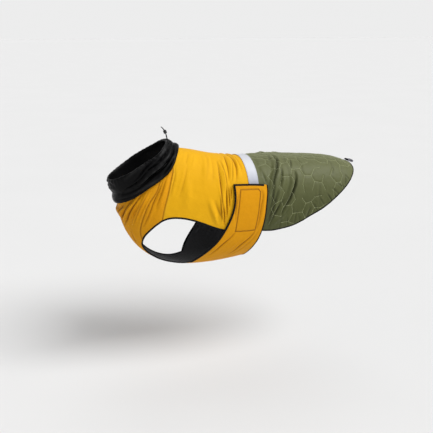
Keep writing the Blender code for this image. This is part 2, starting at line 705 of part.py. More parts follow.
def make_patches(collection):
    """Hook-and-loop patches that hold the wing ends to the coat's sides."""
    front_top, front_low, rear_low, rear_top = np.array(PATCH_CORNERS, float)
    low = np.linspace(front_low, rear_low, PATCH_STEPS)
    top = np.linspace(front_top, rear_top, PATCH_STEPS)
    front = np.linspace(front_top, front_low, PATCH_DOWN_STEPS)
    rear = np.linspace(rear_top, rear_low, PATCH_DOWN_STEPS)
    left = fill_between(front, rear, top, low)
    material = finish("hook_and_loop", (0.02, 0.02, 0.02), 0.95)
    for name, places in (("left", left), ("right", mirrored(left)[:, ::-1])):
        panel(f"closure_patch_{name}", places, material, collection, WALL + LAYER_GAP, PATCH_WALL)


def make_snood(collection):
    """A tube of soft shell, folded double at the rim, that stands as two rolls round the neck."""
    angles = np.arange(SNOOD_STEPS) * 360 / SNOOD_STEPS
    turn = np.radians(angles)
    fullness = 1 + sum(b.share * np.sin(b.waves * turn + b.phase) for b in SNOOD_BULGES)
    seam, top = table_line(NECK_SEAM, angles), table_line(SNOOD_RIM, angles)
    lowest = min(row.rise for row in SNOOD)
    rings = []
    for row in SNOOD:
        places = seam + (top - seam) * row.rise
        if row.rise < 0:
            places = seam + (SNOOD_OVERHANG * row.rise / lowest, 0)
        rings.append(cloth(places, row.out * (fullness if row.out > SNOOD_ROLL_FROM else 1)))
    material = finish("black_soft_shell", (0.012, 0.012, 0.014), 0.7)
    tube_object("snood", np.array(rings), material, collection, SNOOD_WALL)


# The drawcord's loop stands up at the nape: half its route, from the rim to the top of the loop.
CordRow = namedtuple("CordRow", "x y z")
CORD_HALF = [
    CordRow(-198.5, -3.0, 53.8),
    CordRow(-199.2, -2.8, 58.0),
    CordRow(-200.4, -2.2, 63.0),
    CordRow(-202.0, -1.7, 68.0),
    CordRow(-204.6, -1.7, 74.5),
    CordRow(-207.2, -2.6, 78.0),
    CordRow(-209.8, -3.6, 80.8),
    CordRow(-212.0, -2.6, 82.8),
    CordRow(-212.9, 0.0, 83.4),
]
STOPPER_MIDDLE = (-203.3, 0.0, 71.25)
STOPPER_LENGTH = 8.0
STOPPER_RADIUS = 4.2
STOPPER_SLOT = (3.4, 1.6)
STOPPER_SIDES = 20
STOPPER_SLOT_SIDES = 14


def make_drawcord(collection):
    """The round elastic that pulls the snood's rim in, where its loop comes out at the nape."""
    route = np.array(CORD_HALF)
    route = np.concatenate([route, (route * (1, -1, 1))[-2::-1]])
    steps = np.append(0, np.cumsum(np.linalg.norm(np.diff(route, axis=0), axis=1)))
    points = natural_spline(steps, route)(np.linspace(0, steps[-1], CORD_STEPS))
    curve = bpy.data.curves.new("drawcord", "CURVE")
    curve.dimensions = "3D"
    curve.bevel_depth = CORD_DIAMETER / 2 * MM
    curve.bevel_resolution = 2
    curve.use_fill_caps = True
    spline = curve.splines.new("POLY")
    spline.points.add(len(points) - 1)
    for point, place in zip(spline.points, points):
        point.co = (*(place * MM), 1.0)
    cord = bpy.data.objects.new("drawcord", curve)
    curve.materials.append(finish("elastic_cord", (0.02, 0.02, 0.02), 0.8))
    collection.objects.link(cord)


def make_stopper(collection):
    """The drawcord's stopper: a short barrel with a slot for both strands."""
    curve = bpy.data.curves.new("cord_stopper", "CURVE")
    curve.dimensions = "2D"
    curve.fill_mode = "BOTH"
    curve.extrude = STOPPER_LENGTH / 2 * MM
    barrel = (STOPPER_RADIUS, STOPPER_RADIUS, STOPPER_SIDES)
    for radius_across, radius_deep, count in (barrel, (*STOPPER_SLOT, STOPPER_SLOT_SIDES)):
        spline = curve.splines.new("POLY")
        spline.use_cyclic_u = True
        spline.points.add(count - 1)
        for k, point in enumerate(spline.points):
            turn = 2 * math.pi * k / count
            point.co = (radius_deep * math.cos(turn) * MM, radius_across * math.sin(turn) * MM, 0, 1)
    stopper = bpy.data.objects.new("cord_stopper", curve)
    stopper.location = [value * MM for value in STOPPER_MIDDLE]
    rise = np.array(CORD_HALF[4]) - np.array(CORD_HALF[3])
    stopper.rotation_euler = (0, math.atan2(rise[0], rise[2]), 0)
    curve.materials.append(finish("stopper_plastic", (0.01, 0.01, 0.01), 0.45))
    collection.objects.link(stopper)


# The tail tab: a folded loop of narrow tape that stands out over the hem, in side view.
TAB_WIDTH = 12.0
TAB_LOOP = [
    (0.0, 0.0), (6.0, -0.6), (12.5, -0.2), (15.5, 1.4), (15.9, 3.6), (14.2, 5.8), (8.0, 6.6), (0.0, 4.6),
    (0.0, 3.5), (8.0, 5.4), (13.4, 4.8), (14.7, 3.3), (14.3, 2.1), (12.2, 1.0), (6.0, 0.6), (0.0, 1.1),
]
TAB_START_X = 291.4
TAB_TILT = 3.0
TACK_LENGTH = 5.0
TACK_HEIGHT = 5.4


def make_tail_tab(collection):
    """The folded loop and the black tack that sews its two ends to the hem."""
    foot = np.array([TAB_START_X, 0.0])
    normal = outward(foot)
    run = unit(on_body(foot + (1, 0)) - on_body(foot))
    tilt = math.radians(TAB_TILT)
    run, rise = run * math.cos(tilt) + normal * math.sin(tilt), normal * math.cos(tilt) - run * math.sin(tilt)
    corner = on_body(foot) + normal * (WALL + BINDING_GAP + BINDING_WALL + SEAM_GAP)
    ends = corner + np.array([[0, -TAB_WIDTH / 2, 0], [0, TAB_WIDTH / 2, 0]])
    grey = finish("grey_tab", (0.17, 0.165, 0.19), 0.7)
    loop = np.array([[end + run * a + rise * b for a, b in TAB_LOOP] for end in ends])
    sweep("tail_tab", loop, grey, collection)
    start = -TACK_LENGTH - SEAM_GAP
    block = [(start, SEAM_GAP), (-SEAM_GAP, SEAM_GAP), (-SEAM_GAP, TACK_HEIGHT), (start, TACK_HEIGHT - 1)]
    black = finish("tab_tack", (0.02, 0.02, 0.02), 0.8)
    tack = np.array([[end + run * a + rise * b for a, b in block] for end in ends])
    sweep("tail_tab_tack", tack, black, collection)


def main():
    """Model every piece of the coat in an empty file."""
    for thing in list(bpy.data.objects):
        bpy.data.objects.remove(thing)
    collection = bpy.data.collections.new("dog_coat")
    bpy.context.scene.collection.children.link(collection)
    make_front(collection)
    make_band(collection)
    make_rump(collection)
    make_tape(collection)
    make_patches(collection)
    make_snood(collection)
    make_drawcord(collection)
    make_stopper(collection)
    make_tail_tab(collection)


main()
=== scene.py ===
# %% [markdown]
# # A dog coat, dressed around its CAD frame
#
# The coat is shown in its worn form with nobody in it: a yellow shell yoke and chest, a quilted
# olive rump panel, a black snood with a drawcord, and a belly band whose two wings wrap up over the
# sides and close with hook-and-loop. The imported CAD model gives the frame. Its plain walls stay in
# MuJoCo for collision, and finer cloth is laid on the same form here.

# %% Load the frame
from collections import namedtuple
import math
import random

import bmesh
import bpy
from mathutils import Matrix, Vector, noise
from mathutils.bvhtree import BVHTree
import numpy as np


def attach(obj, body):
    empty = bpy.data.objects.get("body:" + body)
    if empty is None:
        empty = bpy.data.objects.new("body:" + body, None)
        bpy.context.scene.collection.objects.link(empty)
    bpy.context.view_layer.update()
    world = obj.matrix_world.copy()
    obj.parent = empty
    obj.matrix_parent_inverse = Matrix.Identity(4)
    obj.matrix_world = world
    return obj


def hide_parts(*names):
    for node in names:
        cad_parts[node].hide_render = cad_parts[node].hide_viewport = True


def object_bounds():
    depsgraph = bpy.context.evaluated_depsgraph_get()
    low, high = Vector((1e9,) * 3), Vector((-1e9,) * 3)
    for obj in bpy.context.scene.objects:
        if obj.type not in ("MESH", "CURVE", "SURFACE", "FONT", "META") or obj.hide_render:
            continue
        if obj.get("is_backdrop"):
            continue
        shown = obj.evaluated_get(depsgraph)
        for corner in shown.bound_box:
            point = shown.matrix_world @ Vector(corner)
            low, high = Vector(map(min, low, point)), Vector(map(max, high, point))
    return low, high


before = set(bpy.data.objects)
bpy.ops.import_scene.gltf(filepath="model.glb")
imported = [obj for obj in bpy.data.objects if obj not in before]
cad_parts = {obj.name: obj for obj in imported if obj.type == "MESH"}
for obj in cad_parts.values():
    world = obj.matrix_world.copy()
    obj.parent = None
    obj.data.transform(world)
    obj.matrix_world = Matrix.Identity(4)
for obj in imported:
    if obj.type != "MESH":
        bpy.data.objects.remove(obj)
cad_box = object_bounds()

MM = 0.001
print("CAD nodes:", len(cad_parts), "box:", cad_box)

# %% [markdown]
# ## The camera
#
# The photograph looks at the coat's left side, a little from the front and from above. The camera
# comes first, so that every piece is judged in the photograph's own view. A 60 mm lens from about
# 1.9 m away gives its mild perspective.

# %% Place the camera
CAMERA_PLACE = (-0.570, -1.740, 0.330)
CAMERA_AZIMUTH = -16.0
CAMERA_DOWN = 15.0
CAMERA_LENS = 60.0
CAMERA_SENSOR = 36.0

camera = bpy.data.objects.new("camera", bpy.data.cameras.new("camera"))
camera.data.lens = CAMERA_LENS
camera.data.sensor_width = CAMERA_SENSOR
camera.location = CAMERA_PLACE
camera.rotation_euler = (math.radians(90 - CAMERA_DOWN), 0, math.radians(CAMERA_AZIMUTH))
bpy.context.scene.collection.objects.link(camera)
bpy.context.scene.camera = camera
print("camera looks down by", CAMERA_DOWN, "degrees")

# %% [markdown]
# ## Shader maths in Python
#
# A finish is built from nodes. Wrapping a socket in a small class lets a finish be written as a
# sum, such as wear * 0.4 + 0.1, and each operation then adds its Math node. Every other node comes
# from one method, so a finish reads as a short recipe.

# %% Wrap a socket
class Flow:
    """A shader socket that can be added to, taken from and multiplied."""

    def __init__(self, finish, socket):
        self.finish = finish
        self.socket = socket

    def maths(self, operation, other, clamp=False):
        settings = {"operation": operation, "use_clamp": clamp}
        return self.finish.node("ShaderNodeMath", settings, {0: self, 1: other})

    def __add__(self, other):
        return self.maths("ADD", other)

    def __sub__(self, other):
        return self.maths("SUBTRACT", other)

    def __mul__(self, other):
        return self.maths("MULTIPLY", other)

    def held(self):
        """The value kept between 0 and 1."""
        return self.maths("ADD", 0.0, clamp=True)

    __radd__ = __add__


print("a socket can be added to, taken from and multiplied")

# %% Wrap a material
# The wave texture turns by so many radians in a unit, and half a turn of it is one thread.
WAVE_RATE = 20


class Finish:
    """A material in the making, around its Principled shader."""

    def __init__(self, name, **constants):
        self.material = bpy.data.materials.new(name)
        self.material.use_nodes = True
        self.nodes = self.material.node_tree.nodes
        self.links = self.material.node_tree.links
        self.shader = self.nodes["Principled BSDF"]
        self.done(**constants)

    def plug(self, socket, value):
        """Link a socket, or set its constant. Colours are written without their alpha."""
        if isinstance(value, Flow):
            self.links.new(value.socket, socket)
        elif socket.type == "RGBA":
            socket.default_value = (*value, 1.0)
        else:
            socket.default_value = value

    def node(self, kind, settings=None, values=None, output=0):
        """Add a node: its settings first, then the values or links of its sockets."""
        made = self.nodes.new(kind)
        for key, value in (settings or {}).items():
            setattr(made, key, value)
        for key, value in (values or {}).items():
            self.plug(made.inputs[key], value)
        return Flow(self, made.outputs[output])

    def object_place(self):
        return self.node("ShaderNodeTexCoord", output="Object")

    def flat_place(self):
        return self.node("ShaderNodeUVMap", {"uv_map": "flat"})

    def height(self):
        """The height over the origin, in metres."""
        return self.node("ShaderNodeSeparateXYZ", None, {"Vector": self.object_place()}, "Z")

    def cloud(self, scale, detail=3.0):
        """Soft noise, with so many clouds to a metre."""
        values = {"Vector": self.object_place(), "Scale": scale, "Detail": detail}
        return self.node("ShaderNodeTexNoise", None, values)

    def threads(self, per_metre, direction):
        """Parallel threads along the piece's own flat map."""
        settings = {"wave_type": "BANDS", "bands_direction": direction, "wave_profile": "SIN"}
        values = {"Vector": self.flat_place(), "Scale": per_metre / WAVE_RATE * math.pi}
        return self.node("ShaderNodeTexWave", settings, values)

    def own(self, name):
        """A value that the piece keeps on its points: wear near sewn edges with painted ridge highlights, or
        painted shade.
        """
        return self.node("ShaderNodeAttribute", {"attribute_name": name}, None, "Fac")

    def blend(self, share, first, second):
        """A colour between two colours."""
        values = {0: share, 6: first, 7: second}
        return self.node("ShaderNodeMix", {"data_type": "RGBA"}, values, output=2)

    def relief(self, height, depth, under=None):
        """Bump of so many metres, over another bump."""
        values = {"Height": height, "Distance": depth, "Strength": 1.0}
        if under:
            values["Normal"] = under
        return self.node("ShaderNodeBump", None, values)

    def done(self, **sockets):
        """Plug the shader's sockets and give back the material."""
        for socket, value in sockets.items():
            self.plug(self.shader.inputs[socket.replace("_", " ")], value)
        return self.material


print("finishes are written with Flow and Finish")

# %% [markdown]
# ## Woven finishes
#
# The shell is a light waterproof weave: matt, with a faint sheen and small crinkles where it has
# been folded. Each cloth gets threads on its own flat map, so that they follow the piece, and
# clouds on object coordinates for the uneven dye and handling. The real weave is finer than a
# pixel here, so most of what the eye reads is the crinkle and the roughness. Shade is painted
# into tight creases and along seams and sewn lines, in a darker, richer colour, and ridges get a
# painted highlight in the paler colour that sewn edges also wear to. The olive cloth is painted
# paler from low down to the top: painted light from above.

# %% Weave the cloths
THREADS_PER_METRE = 1800.0
TAPE_THREADS_PER_METRE = 900.0
WEAVE_DEPTH = 0.00008
DYE_CLOUDS = 14.0
FINE_CLOUDS = 90.0
CRINKLE_CLOUDS = 70.0
# The last two: how far wear with painted highlight, and painted shade, go towards their colours.
WEAR_AND_HIGHLIGHT_SHARE = 0.4
PAINTED_SHADE_SHARE = 0.85

# Painted light from above: a share that grows with the height over the origin, held between 0 and 1.
TOP_LIGHT_AT_ORIGIN = 1.18
TOP_LIGHT_PER_METRE = 11.0


def woven(name, light, dark, wear_and_highlight, painted_shade, roughness, crinkle, per_metre=THREADS_PER_METRE, painted_top_light=0.0,
          **constants):
    """A woven cloth: two dyes in clouds, threads both ways, worn sewn edges, painted highlight and shade.

    The fading share is painted light from above: how far the cloth is painted towards its paler colour higher
    up.
    """
    finish = Finish(name, **constants)
    clouds = finish.cloud(DYE_CLOUDS)
    fine = finish.cloud(FINE_CLOUDS, 4.0)
    shade = finish.blend((clouds * 0.6 + fine * 0.4).held(), dark, light)
    if painted_top_light:
        # Painted light from above: paler with height.
        top_light_share = (finish.height() * TOP_LIGHT_PER_METRE + TOP_LIGHT_AT_ORIGIN + clouds * 0.2).held()
        shade = finish.blend(top_light_share * painted_top_light, shade, wear_and_highlight)
    # Wear beside sewn edges, and painted highlight on ridges.
    wear_and_highlight_share = (finish.own("wear_and_highlight") * (fine * 1.6 - 0.35).held()).held()
    colour = finish.blend(wear_and_highlight_share * WEAR_AND_HIGHLIGHT_SHARE, shade, wear_and_highlight)
    # Painted shade in creases, seams and sewn lines.
    colour = finish.blend((finish.own("painted_shade") * PAINTED_SHADE_SHARE).held(), colour, painted_shade)
    weave = finish.threads(per_metre, "X") * 0.5 + finish.threads(per_metre, "Y") * 0.5
    handled = finish.relief(finish.cloud(CRINKLE_CLOUDS, 5.0), crinkle)
    normal = finish.relief(weave, WEAVE_DEPTH, handled)
    return finish.done(Base_Color=colour, Roughness=roughness + fine * 0.12 - 0.06, Normal=normal)


# Each cloth's deep colour is painted shade; its worn colour is the paler colour of wear, painted ridge
# highlights and painted top light.
yellow_shell = woven(
    "yellow_shell", light=(0.74, 0.391, 0.005), dark=(0.697, 0.348, 0.0035), wear_and_highlight=(0.78, 0.45, 0.025),
    painted_shade=(0.19, 0.054, 0.001), roughness=0.66, crinkle=0.0011, Sheen_Weight=0.02, Specular_IOR_Level=0.12)
# A darker copy of the yellow shell for chest, bib and band: painted shade.
shaded_yellow_shell = woven(
    "shaded_yellow_shell", light=(0.67, 0.298, 0.0023), dark=(0.615, 0.252, 0.0016), wear_and_highlight=(0.71, 0.35, 0.015),
    painted_shade=(0.15, 0.038, 0.001), roughness=0.66, crinkle=0.0011, Sheen_Weight=0.02, Specular_IOR_Level=0.12)
olive_quilt = woven(
    "olive_quilt", light=(0.074, 0.082, 0.026), dark=(0.054, 0.061, 0.018), wear_and_highlight=(0.142, 0.152, 0.068),
    painted_shade=(0.014, 0.016, 0.005), roughness=0.50, crinkle=0.0014, painted_top_light=0.55,
    Sheen_Weight=0.50, Sheen_Roughness=0.35, Sheen_Tint=(0.80, 0.85, 0.50), Specular_IOR_Level=0.22)
soft_shell = woven(
    "black_soft_shell", light=(0.0030, 0.0030, 0.0032), dark=(0.0014, 0.0014, 0.0016),
    wear_and_highlight=(0.060, 0.060, 0.060), painted_shade=(0.0003, 0.0003, 0.0003), roughness=0.38, crinkle=0.0012,
    Specular_IOR_Level=0.085)
black_binding = woven(
    "black_binding", light=(0.0060, 0.0060, 0.0064), dark=(0.0032, 0.0032, 0.0032),
    wear_and_highlight=(0.01, 0.01, 0.01), painted_shade=(0.002, 0.002, 0.002), roughness=0.72, crinkle=0.0003,
    per_metre=TAPE_THREADS_PER_METRE, Specular_IOR_Level=0.14)
grey_tape = woven(
    "grey_tape", light=(0.155, 0.150, 0.175), dark=(0.120, 0.118, 0.135), wear_and_highlight=(0.22, 0.22, 0.24),
    painted_shade=(0.05, 0.05, 0.055), roughness=0.72, crinkle=0.0003, per_metre=TAPE_THREADS_PER_METRE,
    Specular_IOR_Level=0.30)
print("materials with the woven ones:", len(bpy.data.materials))

# %% [markdown]
# ## Fleece and reflective tape
#
# Fleece and the pile of hook-and-loop are the same thing to the eye: short tangled hair, which a
# fine noise as relief and a soft sheen give. The tape is a grey film full of glass beads, so a
# small cell texture gives its grain. Low down it is painted darker: painted shade.

# %% Brush the fleece and bead the tape
PILE_CLOUDS = 900.0
PILE_DEPTH = 0.0006
MATTED_CLOUDS = 140.0
MATTED_DEPTH = 0.0012
BEADS_PER_METRE = 1400.0
BEAD_DEPTH = 0.00008
TAPE_WAVES = 60.0
TAPE_WAVE_DEPTH = 0.0006

# Painted shade on the tape: a share that falls with the height over the origin, held the same way.
LOWER_SHADE_AT_ORIGIN = -0.55
LOWER_SHADE_PER_METRE = -30.0


def fleece(name, light, dark):
    """A brushed lining: short tangled pile over a soft base."""
    finish = Finish(name, Sheen_Weight=0.35, Sheen_Roughness=0.6, Specular_IOR_Level=0.15)
    pile = finish.cloud(PILE_CLOUDS, 6.0)
    colour = finish.blend(pile, dark, light)
    matted = finish.relief(finish.cloud(MATTED_CLOUDS), MATTED_DEPTH)
    normal = finish.relief(pile, PILE_DEPTH, matted)
    return finish.done(Base_Color=colour, Roughness=0.9 + pile * 0.08, Normal=normal)


def glass_bead_tape(name):
    """Reflective tape: glass beads in a grey film, with painted shade that darkens it low down."""
    finish = Finish(name, Specular_IOR_Level=0.30)
    values = {"Vector": finish.object_place(), "Scale": BEADS_PER_METRE}
    beads = finish.node("ShaderNodeTexVoronoi", None, values)
    scuffs = (finish.cloud(160.0, 5.0) * 2.2 - 1.25).held()
    lower_shade = (finish.height() * LOWER_SHADE_PER_METRE + LOWER_SHADE_AT_ORIGIN).held()
    colour = finish.blend(finish.cloud(24.0), (0.57, 0.585, 0.635), (0.64, 0.65, 0.70))
    # Painted shade: darker low down.
    colour = finish.blend(lower_shade * 0.9, colour, (0.30, 0.315, 0.38))
    colour = finish.blend(scuffs * 0.5, colour, (0.54, 0.55, 0.62))
    waves = finish.relief(finish.cloud(TAPE_WAVES), TAPE_WAVE_DEPTH)
    normal = finish.relief(beads, BEAD_DEPTH, waves)
    return finish.done(Base_Color=colour, Roughness=0.48 + scuffs * 0.2, Normal=normal)


charcoal_fleece = fleece("charcoal_fleece", (0.040, 0.040, 0.044), (0.022, 0.022, 0.025))
hook_and_loop = fleece("hook_and_loop", (0.020, 0.020, 0.020), (0.008, 0.008, 0.008))
silver_tape = glass_bead_tape("silver_tape")
print("materials with fleece and tape:", len(bpy.data.materials))

# %% [markdown]
# ## Plastic, elastic and thread
#
# The small trims come close to the eye, so each has its own recipe. The stopper is moulded, with a
# fine grain and scuffs. The elastic's sleeve is a braid, which two slanted waves make where they
# cross. Thread is twisted and has a slight gloss.

# %% Mix the trims' finishes
BRAID_SLANT = 0.9
BRAID_SCALE = 160.0
BRAID_DEPTH = 0.0002
GRAIN_DEPTH = 0.00004
TWIST_DEPTH = 0.0001
SCUFFS_PALER = 0.03
TWIST_DARKER = 0.75


def plastic(name, colour, roughness):
    """Moulded plastic: a fine spark-eroded grain and scuffs that dull its gloss."""
    finish = Finish(name, Base_Color=colour, Specular_IOR_Level=0.5)
    scuffs = (finish.cloud(260.0, 5.0) * 2.4 - 1.2).held()
    grain = finish.relief(finish.cloud(2600.0, 2.0), GRAIN_DEPTH)
    scuffed = finish.blend(scuffs * 0.4, colour, tuple(c + SCUFFS_PALER for c in colour))
    return finish.done(Base_Color=scuffed, Roughness=roughness + scuffs * 0.25, Normal=grain)


def braid(name, light, dark):
    """Elastic in a braided sleeve: strands cross over each other round the cord."""
    finish = Finish(name, Specular_IOR_Level=0.35)
    both = []
    for slant in (BRAID_SLANT, -BRAID_SLANT):
        values = {"Vector": finish.flat_place(), "Rotation": (0, 0, slant)}
        values = {"Vector": finish.node("ShaderNodeMapping", None, values), "Scale": BRAID_SCALE}
        both.append(finish.node("ShaderNodeTexWave", {"bands_direction": "X"}, values))
    strands = (both[0] * both[1]).held()
    colour = finish.blend(strands, dark, light)
    relief = finish.relief(strands, BRAID_DEPTH)
    return finish.done(Base_Color=colour, Roughness=0.7 + strands * 0.1, Normal=relief)


def thread(name, colour):
    """Sewing thread: twisted, with a slight gloss."""
    finish = Finish(name, Specular_IOR_Level=0.4)
    twist = finish.cloud(1800.0, 2.0)
    shade = finish.blend(twist, tuple(c * TWIST_DARKER for c in colour), colour)
    relief = finish.relief(twist, TWIST_DEPTH)
    return finish.done(Base_Color=shade, Roughness=0.55 + twist * 0.1, Normal=relief)


stopper_plastic = plastic("stopper_plastic", (0.012, 0.012, 0.013), 0.42)
elastic_cord = braid("elastic_cord", (0.020, 0.020, 0.021), (0.006, 0.006, 0.006))
yellow_thread = thread("yellow_thread", (0.66, 0.29, 0.006))
brown_thread = thread("brown_thread", (0.085, 0.034, 0.004))
olive_thread = thread("olive_thread", (0.40, 0.43, 0.23))
grey_thread = thread("grey_thread", (0.45, 0.46, 0.50))
print("materials with the trims:", len(bpy.data.materials))

# %% [markdown]
# ## The worn form
#
# Cloth on a body is easiest to make as places on one smooth surface. A place is a pair: back_x, the
# section that it lies on, and angle, which runs round that section from the back at 0 by the left
# side at 90 to the belly at 180. The CAD solids were made on this same surface, so the finer cloth
# here lies on their form without any fitting. Sizes in the tables are millimetres and degrees.

# %% Body sections
Section = namedtuple("Section", "back_x back_z belly_x belly_z half_width fullness egg")
BODY = [
    Section(-215, 57, -360, 2, 56, 0.03, 0.00),
    Section(-200, 43, -345, -35, 60, 0.03, 0.00),
    Section(-168, 28, -326, -99, 69, 0.03, 0.02),
    Section(-140, 23, -313, -158, 80, 0.04, 0.05),
    Section(-110, 16, -280, -213, 90, 0.05, 0.08),
    Section(-70, 8, -205, -259, 99, 0.06, 0.08),
    Section(-30, 2, -95, -265, 104, 0.07, 0.06),
    Section(0, 0, -12, -253, 105, 0.08, 0.05),
    Section(60, 1, 55, -236, 103, 0.09, 0.02),
    Section(130, -3, 128, -222, 98, 0.10, 0.00),
    Section(200, -8, 200, -222, 93, 0.10, 0.00),
    Section(260, -18, 262, -230, 88, 0.09, 0.00),
    Section(310, -36, 315, -240, 82, 0.08, 0.00),
]


def natural_spline(knots, rows):
    """A function that reads a natural cubic spline through rows of values."""
    knots = np.array(knots, float)
    rows = np.array(rows, float)
    gap = np.diff(knots)
    system = np.eye(len(knots))
    right = np.zeros_like(rows)
    for i in range(1, len(knots) - 1):
        system[i, i - 1:i + 2] = gap[i - 1], 2 * (gap[i - 1] + gap[i]), gap[i]
        right[i] = 6 * ((rows[i + 1] - rows[i]) / gap[i] - (rows[i] - rows[i - 1]) / gap[i - 1])
    bend = np.linalg.solve(system, right)

    def read(at):
        at = np.asarray(at, float)
        i = np.clip(np.searchsorted(knots, at) - 1, 0, len(knots) - 2)
        step = gap[i][..., None]
        past = (at - knots[i])[..., None]
        slope = (rows[i + 1] - rows[i]) / step - step * (2 * bend[i] + bend[i + 1]) / 6
        cubic = past**3 * (bend[i + 1] - bend[i]) / (6 * step)
        return rows[i] + past * slope + past**2 * bend[i] / 2 + cubic

    return read


body_at = natural_spline([s.back_x for s in BODY], [s[1:] for s in BODY])


def on_body(place):
    """Points of the plain surface at (back_x, angle) places, in millimetres."""
    back_x, angle = place[..., 0], np.radians(place[..., 1])
    back_z, belly_x, belly_z, half_width, fullness, egg = np.moveaxis(body_at(back_x), -1, 0)
    cosine, sine = np.cos(angle), np.sin(angle)
    square = 1 + fullness * np.sin(2 * angle)**2
    x = (back_x + belly_x) / 2 + (back_x - belly_x) / 2 * cosine * square
    y = -half_width * (1 + egg * cosine) * sine * square
    z = (back_z + belly_z) / 2 + (back_z - belly_z) / 2 * cosine * square
    return np.stack([x, y, z], axis=-1)


def unit(vectors):
    return vectors / np.linalg.norm(vectors, axis=-1, keepdims=True)


def outward(place):
    """Outward normals of the plain surface."""
    along = on_body(place + (1, 0)) - on_body(place - (1, 0))
    around = on_body(place + (0, 1)) - on_body(place - (0, 1))
    return unit(np.cross(around, along))


print("back to belly at the girth:", round(float(on_body(np.array([0.0, 180.0]))[2])), "mm")

# %% [markdown]
# ## Seams and edges
#
# Every seam and edge is a short table of places on the left half, and the right half mirrors it. Two
# pieces that meet share the same table, so their seam fits. The neck seam and the snood's rim run
# round the body, so they are written as (angle, back_x), and all the others as (back_x, angle).

# %% Lines on the coat
NECK_SEAM = [(0, -177), (30, -176), (45, -171), (57, -165), (68, -162), (80, -163), (100, -166.5),
             (125, -169.5), (150, -172), (180, -173)]
SNOOD_RIM = [(0, -206), (25, -205), (45, -202.5), (60, -200.5), (85, -200), (117, -199), (145, -199),
             (180, -199)]
YOKE_SEAM = [(-165, 57), (-157, 62), (-149, 70), (-135, 85), (-125, 98), (-114.5, 111)]
ARMHOLE_TOP = [(-114.5, 111), (-110, 105.4), (-102, 100.5), (-83, 96), (-61, 97.3), (-35, 103.7), (0, 109)]
BIB_SEAM = [(-163, 80), (-157, 87), (-150, 96), (-147, 106), (-141, 118), (-132, 131), (-124, 139.5),
            (-114.5, 145)]
ARMHOLE_FRONT = [(-114.5, 111), (-117, 119.5), (-117.8, 128), (-117.2, 137), (-114.5, 145)]
ARMHOLE_LOW = [(-114.5, 145), (-111, 151), (-105, 156.5), (-95, 160.5), (-81, 162), (-66, 160), (-52, 152)]
BAND_SEAM = [(-52, 152), (-54, 166), (-54, 180)]
WING_FRONT = [(-39, 56), (-33, 68), (-31, 80), (-33, 95), (-38, 112), (-45, 126), (-50, 140), (-52, 152)]
WING_REAR = [(29, 60), (29, 68), (27, 77), (23, 94), (14, 115), (3, 136), (-1, 155), (-2, 180)]
WING_TOP = [(-39, 56), (-5, 57), (29, 60)]
HEM = [(0, 109), (22, 113), (48, 116), (72, 117), (115, 115), (149, 107), (183, 98), (217, 84), (246, 69),
       (265, 57), (277, 47)]
TAIL_EDGE = [(277, 47), (284, 38), (288, 26), (290, 12), (291, 0)]
TAPE_MIDDLE = [(-2, 0), (-2.3, 6), (-3.2, 14), (-4, 24), (-3, 38), (-1, 54), (0, 70)]
GIRTH_X = 0.0

# A smooth path is measured on this many fine points for each point of its table.
FINE_STEPS = 40


def smooth_path(points, count, closer=None):
    """Places on a smooth curve through (back_x, angle) points, evenly spaced on the body.

    Closer is (from_x, to_x, times): between those back_x the places lie so many times closer.
    """
    points = np.array(points, float)
    chords = np.linalg.norm(np.diff(on_body(points), axis=0), axis=1)
    read = natural_spline(np.append(0, np.cumsum(chords)), points)
    fine = read(np.linspace(0, chords.sum(), FINE_STEPS * len(points)))
    steps = np.linalg.norm(np.diff(on_body(fine), axis=0), axis=1)
    if closer:
        steps *= np.where((fine[1:, 0] > closer[0]) & (fine[1:, 0] < closer[1]), closer[2], 1)
    length = np.append(0, np.cumsum(steps))
    even = np.linspace(0, length[-1], count + 1)
    return np.stack([np.interp(even, length, fine[:, k]) for k in (0, 1)], axis=-1)


def table_line(table, angles):
    """Places at angles along a line that is given by a table of (angle, back_x) points."""
    knots, values = zip(*table)
    left = np.abs((angles + 180) % 360 - 180)
    return np.stack([natural_spline(knots, [[v] for v in values])(left)[..., 0], angles], axis=-1)


print("the hem starts at", HEM[0], "and ends at the tail at", TAIL_EDGE[-1])

# %% [markdown]
# ## Grids of the cut pieces
#
# A cut piece needs rows and columns of places. A Coons patch makes them from its four edges, so the
# grid follows the cut and two pieces that meet have the same points on their seam. Where the yoke
# is pleated beside the wing, its places lie closer together.

# %% Turn and join lines
def mirrored(places):
    return places * (1, -1)


def under_belly(places):
    """Places mirrored to the right side, with angles that go on past 180."""
    return places * (1, -1) + (0, 360)


def joined(*paths):
    """Paths end to end, without their doubled points."""
    return np.concatenate([paths[0]] + [path[1:] for path in paths[1:]])


def round_back(left):
    return joined(mirrored(left)[::-1], left)


def round_belly(left):
    return joined(left, under_belly(left)[::-1])


def fill_between(front, rear, left, right):
    """A grid of places that blends smoothly between four edges (a Coons patch)."""
    down = np.linspace(0, 1, len(left))[:, None, None]
    across = np.linspace(0, 1, len(front))[None, :, None]
    lengthways = (1 - down) * front + down * rear
    sideways = (1 - across) * left[:, None] + across * right[:, None]
    corners = (1 - down) * ((1 - across) * front[0] + across * front[-1])
    corners = corners + down * ((1 - across) * rear[0] + across * rear[-1])
    return lengthways + sideways - corners


print("a line round the back:", round_back(np.array([[0.0, 0.0], [0.0, 90.0]])).tolist())

# %% Lay out the cut pieces
YOKE_SEAM_STEPS = 78
ARMHOLE_TOP_STEPS = 84
ARMHOLE_LOW_STEPS = 44
CHEST_SIDE_STEPS = 46
YOKE_HALF_STEPS = 112
BIB_HALF_STEPS = 64
WING_STEPS = 104
BAND_SEAM_STEPS = 24
BAND_STEPS = 56
RUMP_STEPS = 176
RUMP_HALF_STEPS = 116
PLEATED = (-60, -28, 2.2)

YOKE_SEAM_ANGLE = YOKE_SEAM[0][1]
BIB_SEAM_ANGLE = BIB_SEAM[0][1]
GIRTH_END_ANGLE = HEM[0][1]


